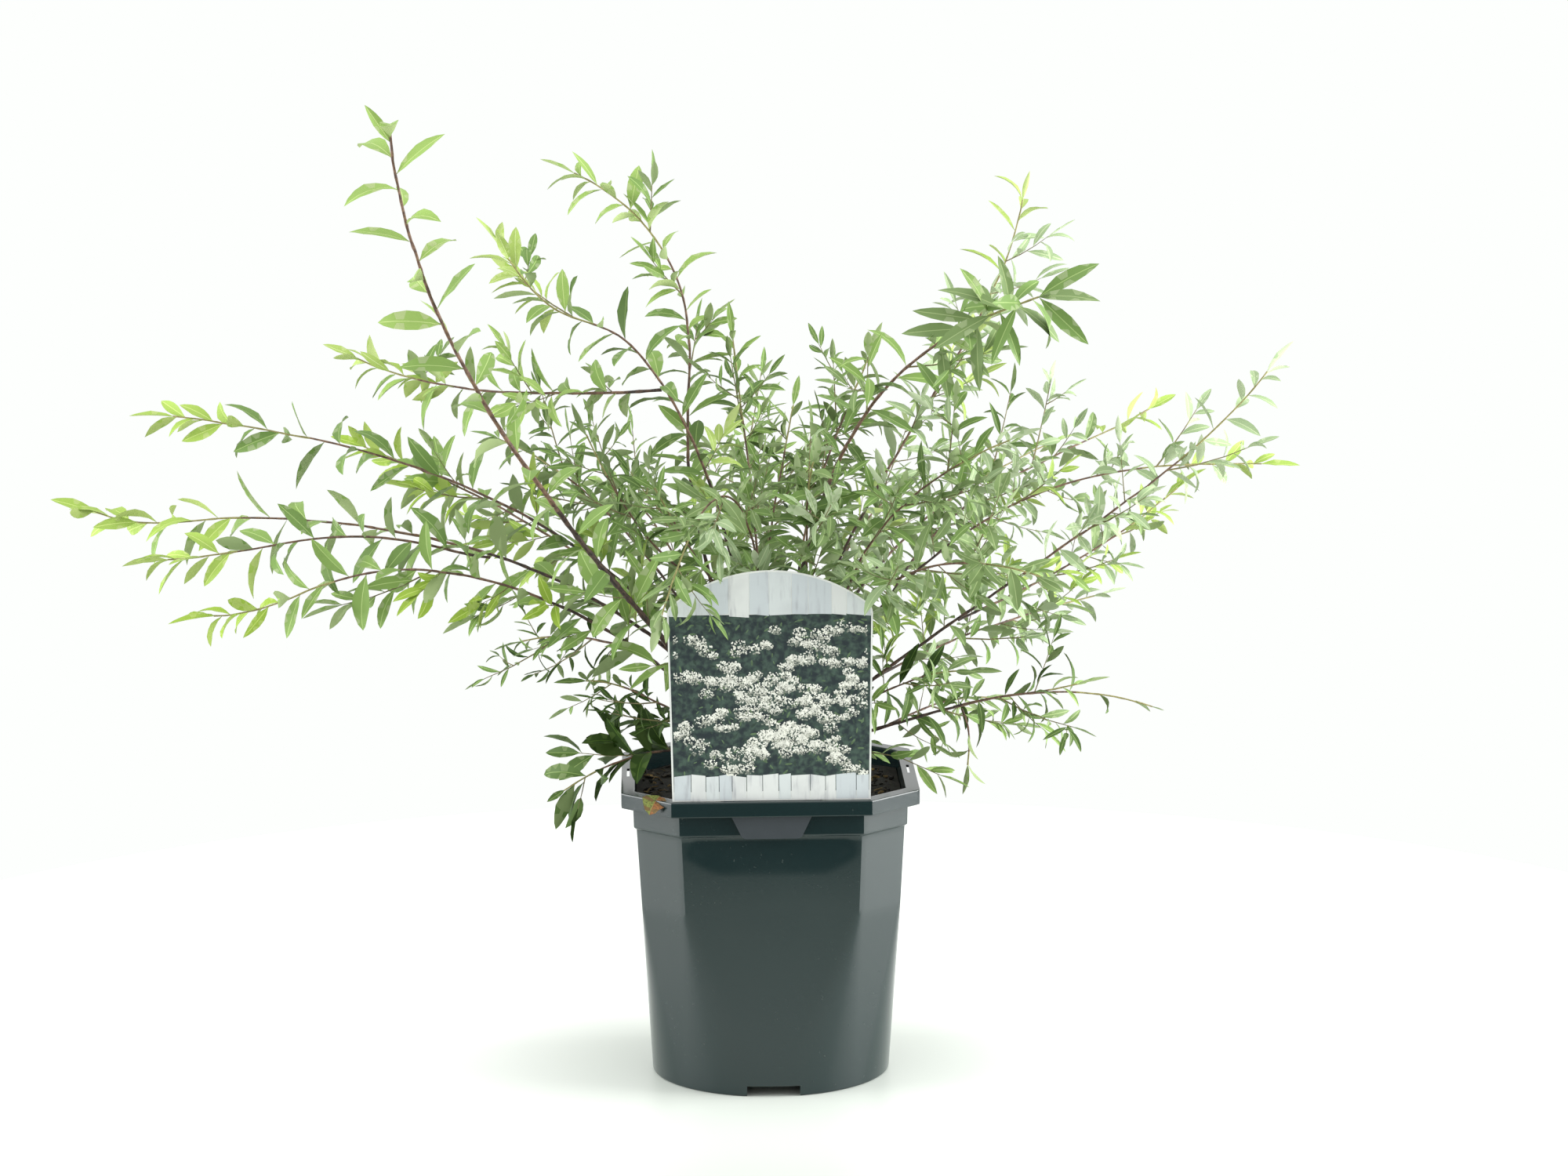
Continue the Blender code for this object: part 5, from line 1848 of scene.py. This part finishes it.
    def grow_twigs(self) -> None:
        """Twigs of each cane, where the solids have them."""
        for index, cane in enumerate(CANES):
            rng = Random(SEED * 100 + index)
            run = self.runs[cane.name]
            start = cane.bare + GAP / run.length if cane.bare else 0.0
            room = self.stem_end(cane) - start
            for i in range(cane.twigs):
                share = start + room * (0.18 + 0.62 * (i + rng.uniform(0.2, 0.8)) / cane.twigs)
                length = cane.twig * rng.uniform(0.75, 1.15)
                for attempt in range(self.twig_tries):
                    turn = i * GOLDEN_ANGLE + rng.uniform(-25.0, 25.0) + attempt * 60.0
                    points = twig_points(run.at(share), spun(run.way(share), TWIG_SPREAD, turn), length)
                    clear = not any(self.ground.in_the_way(point) for point in points[1:])
                    if clear and self.ground.keeps(index, points[1:], TWIG_MARGIN):
                        self.add_side_shoot(index, cane, points, *self.twig_form)
                        break
        for shoot in self.shoots:
            if not shoot.is_cane:
                legs = zip(shoot.points, shoot.points[1:])
                places = [low.lerp(high, k / 3.0) for low, high in legs for k in range(4)]
                self.ground.add(shoot.owner, places)

    def grow_rim_twig(self) -> None:
        """The little twig that leans over the rim on the right of the label."""
        index = next(i for i, cane in enumerate(CANES) if cane.name == self.rim_twig_owner)
        points = [Vector(point) for point in self.rim_twig]
        self.add_side_shoot(index, CANES[index], points, *self.rim_twig_form)

    def add_side_shoot(self, index: int, cane: Cane, points: list[Vector], radius: float,
                       size: float) -> None:
        """Add a twig or sprig that bears leaves of a size, as a share of its cane's.

        Args:
            index: The number of its cane.
            cane: Its cane.
            points: Its middle line.
            radius: Its radius at the root.
            size: The leaves' size.
        """
        rng = Random(SEED * 500 + len(self.shoots))
        radii = [radius * (1.0 - 0.2 * i) for i in range(len(points))]
        habit = side_habit_of(cane)
        tint = rng.choice(habit.tints)
        tip_tint = rng.choice(habit.tips) if rng.random() < self.fresh_tips else tint
        leaf = cane.leaf * habit.leaf * size
        self.shoots.append(Shoot(index, cane, points, radii, leaf, self.side_leaf_start, tint, tip_tint))

    def grow_sprigs(self) -> None:
        """Finer side shoots of the canes and twigs in the inner crown."""
        for shoot in list(self.shoots):
            rng = Random(SEED * 700 + shoot.owner + 41 * len(shoot.points))
            habit = habit_of(shoot.cane)
            part, start, sizes = self.cane_sprigs if shoot.is_cane else self.twig_sprigs
            count = int(shoot.length * part / self.sprig_step)
            for i in range(count):
                share = start + 0.76 * (i + rng.uniform(0.1, 0.9)) / count
                place, way = self.along(shoot, share)
                size = rng.uniform(*sizes)
                bare_arm = shoot.cane.twigs == 0 and place.xy.length > self.bare_arm_start
                if place.xy.length > self.sprig_reach or bare_arm or (shoot.is_cane and share > habit.sprigs):
                    continue
                for attempt in range(self.sprig_tries):
                    turn = i * GOLDEN_ANGLE + rng.uniform(-30.0, 30.0) + attempt * 85.0
                    points = twig_points(place, spun(way, self.sprig_spread, turn), size)
                    touches = [self.ground.in_the_way(point, self.sprig_clearance) for point in points[1:]]
                    if not any(touches) and self.ground.keeps(shoot.owner, points[2:], self.sprig_margin):
                        self.add_side_shoot(shoot.owner, shoot.cane, points, *self.sprig_form)
                        break

    def along(self, shoot: Shoot, share: float) -> tuple[Vector, Vector]:
        """Place and direction at a share of a shoot's points.

        Args:
            shoot: The shoot.
            share: The share, held between 0 and 1.

        Returns:
            The place and the direction.
        """
        last = len(shoot.points) - 1
        goal = min(max(share, 0.0), 1.0) * last
        i = min(int(goal), last - 1)
        reach = max(1, last // 30)
        way = shoot.points[min(i + 1 + reach, last)] - shoot.points[max(i - reach, 0)]
        return shoot.points[i].lerp(shoot.points[i + 1], goal - i), way.normalized()

    def leaf_at(self, rng: Random, place: Vector, way: Vector, spread: float, turn: float,
                length: float, slender: tuple[float, float]) -> Leaf | None:
        """One leaf in a free place, turned further round its shoot if it must be.

        Args:
            rng: The source of the draws.
            place: Its root on the shoot.
            way: The shoot's direction there.
            spread: The angle that it stands off the shoot.
            turn: The side of the shoot that it leaves.
            length: Its length.
            slender: Its least and greatest width, as shares of its length.

        Returns:
            The leaf, or None where there is no room.
        """
        size = length * rng.uniform(0.84, 1.12)
        width = size * rng.uniform(*slender)
        curl = random_angle(rng, 12.0, 76.0)
        fold = random_angle(rng, 6.0, 24.0)
        mood = Vector([rng.gauss(0.0, self.mood) for _ in range(3)])
        twist = rng.gauss(0.0, self.twist)
        phase = rng.uniform(0.0, tau)
        for attempt in range(self.leaf_tries):
            out = spun(way, spread, turn + attempt * 80.0)
            face = squared(way * 0.50 + UP * 0.60 + Vector((0.0, -0.20, 0.0)) + mood, out)
            droop = out * cos(curl * 0.6) - face * sin(curl * 0.6)
            points = [place + out * size * 0.45, place + (out + droop).normalized() * size * 0.97]
            if not any(self.ground.in_the_way(point) for point in points):
                if attempt or self.ground.free(points[1:], self.leaf_clearance):
                    return Leaf(place, out, face, size, width, curl, fold, twist, phase)
        return None

    def grow_leaves(self) -> None:
        """Leaves along every shoot, closer and smaller towards its tip."""
        for number, shoot in enumerate(self.shoots):
            rng = Random(SEED * 900 + number)
            habit = shoot.habit
            wide, narrow = habit.spread
            length = shoot.length
            turn = rng.uniform(0.0, 360.0)
            share = shoot.first
            while share < 1.0:
                place, way = self.along(shoot, share)
                near_tip = max(0.0, 1.0 - (1.0 - share) * length / habit.crown)
                size = shoot.leaf * (1.0 - habit.shrink * near_tip ** 2)
                spread = wide + (narrow - wide) * near_tip + rng.uniform(-9.0, 9.0)
                leaf = self.leaf_at(rng, place, way, spread, turn, size, habit.slender)
                if leaf:
                    self.leaves[self.leaf_tint(rng, shoot, place, near_tip)].append(leaf)
                turn += GOLDEN_ANGLE
                bare_part = shoot.is_cane and share < shoot.cane.bare
                apart = self.bare_spacing if bare_part else 1.0 - habit.crowd * sqrt(near_tip)
                share += shoot.leaf * habit.spacing * apart * rng.uniform(0.8, 1.2) / length
            self.end_leaf(rng, shoot)

    def grow_fan(self) -> None:
        """The long leaves that fan out of the tall right cane's end.

        Each is told by how far it stands back from the end, the way it points as the front shows it,
        how far it leans forward, both in degrees, and its length.
        """
        shoot = next(found for found in self.shoots if found.is_cane and found.cane.name == self.fan_cane)
        rng = Random(SEED * 1300)
        for back, turn, lean, length in self.fan:
            place, _ = self.along(shoot, 1.0 - back / shoot.length)
            across, tilt = radians(turn), radians(lean)
            level = cos(tilt)
            way = Vector((cos(across) * level, -sin(tilt), sin(across) * level))
            face = squared(Vector((rng.gauss(0.0, 0.22), -0.75, 0.62 + rng.gauss(0.0, 0.22))), way)
            width = length * rng.uniform(0.20, 0.25)
            leaf = Leaf(place, way, face, length, width, random_angle(rng, 14.0, 44.0),
                        random_angle(rng, 8.0, 20.0), rng.gauss(0.0, 0.35), rng.uniform(0.0, tau))
            self.leaves[rng.choice(self.fan_tints)].append(leaf)

    def leaf_tint(self, rng: Random, shoot: Shoot, place: Vector, near_tip: float) -> Tint:
        """Tint of one leaf of a spray: fresh at its tip, painted lighter high up, and painted darker as shade
        low down and in the heart of the crown.

        Args:
            rng: The source of the draws.
            shoot: The shoot that bears it.
            place: Its root.
            near_tip: How near the tip it is, from 0 to 1.

        Returns:
            The tint.
        """
        if near_tip > 0.55:
            return shoot.tip_tint
        if near_tip > 0.1 and shoot.tip_tint in (Tint.TIP, Tint.FRESH) and rng.random() < 0.6:
            return rng.choice((Tint.CLEAR, Tint.FRESH))
        # Painted light: a paler copy high in the crown.
        if place.z > self.painted_light_above and rng.random() < (place.z - self.painted_light_above) / 0.12:
            return PAINTED_LIGHT_TINT.get(shoot.tint, shoot.tint)
        # Painted shade: a darker copy low down and near the axis.
        if place.z < self.painted_shade_below or place.xy.length < self.heart and rng.random() < 0.5:
            return PAINTED_SHADE_TINT.get(shoot.tint, shoot.tint)
        return shoot.tint

    def end_leaf(self, rng: Random, shoot: Shoot) -> None:
        """The leaf that carries a shoot on past its end.

        Args:
            rng: The source of the draws.
            shoot: The shoot.
        """
        habit = shoot.habit
        place, way = self.along(shoot, 1.0)
        length = habit.last * shoot.cane.leaf if shoot.is_cane else shoot.leaf * 0.8
        face = UP + Vector((rng.gauss(0.0, 0.4), rng.gauss(0.0, 0.8), 0.0))
        if habit.blunt:
            place, way = self.along(shoot, 0.985)
            way = (way + Vector((-0.55, -0.1, 0.0))).normalized()
            length = shoot.leaf * 0.74
            face = Vector((0.2, -1.0, 0.3))
        leaf = Leaf(place - way * 0.001, way, squared(face, way), length, length * (habit.slender[0] + 0.02),
                    random_angle(rng, 0.0, 14.0), radians(22.0), 0.0, 0.0)
        self.leaves[shoot.tip_tint].append(leaf)

    def limb(self, points: Sequence[Vector], radii: Sequence[float], sides: int, rng: Random,
             rough: float) -> BMesh:
        """A tapering limb: a grid rolled into a tube round its points, closed at both ends.

        Args:
            points: The limb's middle line.
            radii: Its radius at each point.
            sides: How many sides it has.
            rng: The source of the relief's draws.
            rough: The relief, as a share of the radius.

        Returns:
            The limb.
        """
        bm = bmesh.new()
        last = len(points) - 1
        bmesh.ops.create_grid(bm, x_segments=sides, y_segments=last, size=1.0)
        frames = []
        side = None
        for i, point in enumerate(points):
            way = (points[min(i + 1, last)] - points[max(i - 1, 0)]).normalized()
            side = side_of(way) if side is None else squared(side, way)
            frames.append((point, side, way.cross(side)))
        relief = [[1.0 + rng.uniform(-rough, rough) for _ in range(sides)] for _ in points]
        for vert in bm.verts:
            i = round((vert.co.y + 1.0) / 2.0 * last)
            k = round((vert.co.x + 1.0) / 2.0 * sides)
            turn = tau * k / sides
            point, across, lift = frames[i]
            out = across * cos(turn) + lift * sin(turn)
            vert.co = point + out * radii[i] * relief[i][k % sides]
        bmesh.ops.remove_doubles(bm, verts=bm.verts, dist=1e-6)
        bmesh.ops.holes_fill(bm, edges=[edge for edge in bm.edges if edge.is_boundary], sides=sides)
        bmesh.ops.recalc_face_normals(bm, faces=bm.faces)
        return bm

    def build_wood(self) -> None:
        """Join the limbs by the age of their bark, from old wood at the foot to green wood at the tips."""
        old, young, green, twigs = heaps = [bmesh.new() for _ in self.barks]
        for number, shoot in enumerate(self.shoots):
            rng = Random(SEED * 1100 + number)
            last = len(shoot.points) - 1
            parts = [(0, last + 1, twigs)]
            if shoot.is_cane:
                ripe = int(last * (self.fork_ripe if shoot.cane.host else self.ripe))
                soft = last if habit_of(shoot.cane).blunt else int(last * self.soft)
                parts = [(0, ripe + 1, old), (ripe, soft + 1, young), (soft, last + 1, green)]
            sides, rough = self.cane_relief if shoot.is_cane else self.twig_relief
            for low, high, heap in parts:
                if high - low > 1:
                    pour(self.limb(shoot.points[low:high], shoot.radii[low:high], sides, rng, rough), heap)
        for (name, finish), heap, ending in zip(self.barks, heaps, ("_bough", "_mass", "_mass", "_mass")):
            add_piece(name, mesh_of(heap, name), [finish.make()], Slot.BARK, nodes_ending(ending))

    def build_leaves(self) -> None:
        """Join the leaves, one piece for each tint."""
        press = LeafPress()
        for tint, leaves in self.leaves.items():
            if leaves:
                heap = MeshHeap(*press.faces())
                heap.add(press.press(leaves))
                finish = tint.value
                mesh = heap.mesh(finish.name, LEAF_SHARP)
                add_piece(finish.name + "_sprays", mesh, finish.make(), Slot.LEAF, nodes_ending("_mass"))
        count = sum(len(found) for found in self.leaves.values())
        notes.info("%d shoots, %d leaves", len(self.shoots), count)

    def build(self) -> None:
        """Grow and make everything above the short stem."""
        self.grow_canes()
        self.grow_twigs()
        self.grow_sprigs()
        self.grow_rim_twig()
        self.grow_leaves()
        self.grow_fan()
        self.build_wood()
        self.build_leaves()


@dataclass
class ShortStem:
    """Knobbly short stem with a root flare, that the canes leave."""

    foot: float = 0.1853
    flare: float = 0.024
    flare_drop: float = 0.004
    sides: int = 48

    def build(self) -> None:
        """Turn the stem and roughen it."""
        inner = self.flare - self.flare_drop
        points = [(0.0, self.foot), (self.flare, self.foot), (inner, self.foot + self.flare_drop)]
        for slope in range(-25, 91, 5):
            turn = radians(slope)
            lift = STEM_HEAD_RADIUS * sin(turn)
            points.append((STEM_HEAD_RADIUS * cos(turn), STEM_HEAD_HEIGHT + lift))
        bm = turned(points, self.sides, 1e-5)
        middle = UP * STEM_HEAD_HEIGHT
        for vert in bm.verts:
            if vert.co.z > self.foot + 1e-4:
                out = vert.co - middle
                knob = noise.noise(vert.co * 150.0) * 0.09 + noise.noise(vert.co * 420.0) * 0.04
                vert.co = middle + out * (1.0 + knob)
        finish = Bark("bark_stem", paint(38, 30, 25), paint(78, 64, 52)).make()
        add_piece("short_stem_bark", mesh_of(bm, "stem", 60.0), [finish], Slot.BARK, ["short_stem"])


@dataclass
class WitheredLeaf:
    """A fallen leaf, half yellow and half brown, that hangs over the rim's left front corner."""

    pot: Pot
    length: float = 0.0175
    width: float = 0.0160
    corner: tuple = (-0.0700, -0.0792)
    lift: float = 0.0012
    curl: float = 95.0
    fold: float = 10.0
    finishes: tuple = (Print("withered_yellow", paint(122, 130, 60), 0.7, 0.35, 900.0),
                       Print("withered_under", paint(110, 88, 50), 0.8),
                       Print("withered_rib", paint(136, 112, 62), 0.7),
                       Print("withered_brown", paint(140, 92, 46), 0.7, 0.30, 900.0))

    def build(self) -> None:
        """Lay the leaf over the rim."""
        press = LeafPress(wave=0.22)
        faces, marks = press.faces()
        sides = [3 if mark == 0 and min(face) % 5 in (3, 4) else mark for face, mark in zip(faces, marks)]
        root = Vector((*self.corner, self.pot.height + self.lift))
        way = Vector((-0.35, -0.90, 0.12)).normalized()
        face = squared(Vector((0.14, -0.30, 0.90)), way)
        curl, fold = radians(self.curl), radians(self.fold)
        heap = MeshHeap(faces, sides)
        heap.add(press.press([Leaf(root, way, face, self.length, self.width, curl, fold, 0.2, 1.0)]))
        finishes = [finish.make() for finish in self.finishes]
        add_piece("withered_leaf", heap.mesh("withered_leaf", LEAF_SHARP), finishes, Slot.LEAF)


@dataclass
class Studio:
    """Pale floor, bright soft light from all round, and the photograph's camera."""

    azimuth: float = -1.45
    elevation: float = 10.0
    distance: float = 3.2
    target: tuple = (0.0112, 0.317)
    roll: float = -0.48
    focal_share: float = 3.17
    sensor: float = 36.0
    floor_radius: float = 0.80
    cloth_start: float = 0.52
    cloth_size: tuple = (6.0, 5.0, 0.001)
    sky: tuple = (0.985, 1.0, 0.985, 1.0)
    lamps: tuple = (("lamp_top", (0.10, -0.20, 1.7), 1.2, 9.0),
                    ("lamp_left", (-1.35, -0.20, 0.45), 1.0, 19.0),
                    ("lamp_right", (1.35, -0.20, 0.45), 1.0, 32.0))
    lamp_aim: tuple = (0.0, 0.0, 0.25)
    # Painted shade on the floor: darker towards the front, which also darkens the pot's reflection there, and
    # a painted shadow round the pot.
    floor_fade: tuple = (-0.40, 0.10)
    floor_shade: tuple = (0.09, 0.24)
    floor_painted_shadow: tuple = (0.72, 0.76, 0.71)
    floor_front_painted_shade: tuple = (0.56, 0.60, 0.55)
    floor_far: tuple = (0.88, 0.90, 0.87)

    def build_camera(self) -> None:
        """Place the camera."""
        turn, tilt = radians(self.azimuth), radians(self.elevation)
        back = Vector((sin(turn) * cos(tilt), -cos(turn) * cos(tilt), sin(tilt)))
        right = Vector((cos(turn), sin(turn), 0.0))
        up = back.cross(right)
        across, height = self.target
        place = right * across + UP * height + back * self.distance
        lean = radians(self.roll)
        level = right * cos(lean) + up * sin(lean)
        upright = up * cos(lean) - right * sin(lean)
        data = bpy.data.cameras.new("camera")
        data.sensor_fit = "HORIZONTAL"
        data.sensor_width = self.sensor
        data.lens = self.focal_share * self.sensor
        camera = bpy.data.objects.new("camera", data)
        bpy.context.scene.collection.objects.link(camera)
        turned = Matrix((level, upright, back)).transposed().to_4x4()
        camera.matrix_world = Matrix.Translation(place) @ turned
        bpy.context.scene.camera = camera

    def build_floor(self) -> None:
        """Round pale floor with painted shade to the front and a painted shadow round the pot, and dark cloth
        before it that only gleams show.
        """
        bm = bmesh.new()
        bmesh.ops.create_circle(bm, cap_ends=True, segments=128, radius=self.floor_radius)
        graph = Graph("floor_white")
        spot = graph.wire("ShaderNodeTexCoord", None, {}, "Object")
        # Painted shade: darker towards the front, and a painted shadow round the pot.
        depth = graph.ramp(graph.wire("ShaderNodeSeparateXYZ", None, {0: spot}, "Y"), *self.floor_fade)
        reach = graph.wire("ShaderNodeVectorMath", {"operation": "LENGTH"}, {0: spot}, "Value")
        painted_shadow_mask = graph.ramp(reach, *self.floor_shade)
        open_floor = graph.blend(depth, self.floor_front_painted_shade, self.floor_far)
        pale = graph.set(Base_Color=graph.blend(painted_shadow_mask, self.floor_painted_shadow, open_floor), Roughness=0.4)
        self.lay("floor", bm, pale)
        width, length, thickness = self.cloth_size
        middle = (0.0, -self.cloth_start - length / 2.0, 2.0 * thickness)
        dark = Graph("cloth_dark").set(Base_Color=(0.02, 0.02, 0.02), Roughness=0.9)
        laid = self.lay("cloth", block((width, length, thickness), middle), dark)
        laid.visible_camera = False
        laid.visible_diffuse = False
        laid.visible_shadow = False

    def lay(self, name: str, bm: BMesh, finish: Material) -> Object:
        """Put a part of the stage down and return it.

        Args:
            name: Its name.
            bm: Its shape, which is freed.
            finish: Its material.

        Returns:
            The part.
        """
        mesh = bpy.data.meshes.new(name)
        bm.to_mesh(mesh)
        bm.free()
        mesh.materials.append(finish)
        thing = bpy.data.objects.new(name, mesh)
        bpy.context.scene.collection.objects.link(thing)
        return thing

    def add_lamp(self, name: str, place: tuple, size: float, power: float) -> None:
        """Add a soft lamp that looks at the shrub and isn't seen itself.

        Args:
            name: Its name.
            place: Where it hangs.
            size: The length of its side.
            power: Its power in watts.
        """
        data = bpy.data.lights.new(name, "AREA")
        data.size = size
        data.energy = power
        lamp = bpy.data.objects.new(name, data)
        bpy.context.scene.collection.objects.link(lamp)
        aim = (Vector(self.lamp_aim) - Vector(place)).to_track_quat("-Z", "Y")
        lamp.matrix_world = Matrix.Translation(place) @ aim.to_matrix().to_4x4()
        lamp.visible_camera = False

    def build(self) -> None:
        """Set the stage."""
        world = bpy.data.worlds.new("studio")
        world.use_nodes = True
        sky = world.node_tree.nodes["Background"]
        sky.inputs["Color"].default_value = self.sky
        sky.inputs["Strength"].default_value = 1.0
        bpy.context.scene.world = world
        bpy.context.scene.view_settings.view_transform = "Standard"
        self.build_camera()
        self.build_floor()
        for lamp in self.lamps:
            self.add_lamp(*lamp)


def main() -> None:
    """Build the stage and every sub-assembly, in order."""
    logging.basicConfig(level=logging.INFO, format="%(name)s: %(message)s")
    Studio().build()
    pot = Pot()
    pot.build()
    PottingMix(pot).build()
    label = Label(pot)
    label.build()
    ShortStem().build()
    Crown(label).build()
    WitheredLeaf(pot).build()


if __name__ == "__main__":
    main()
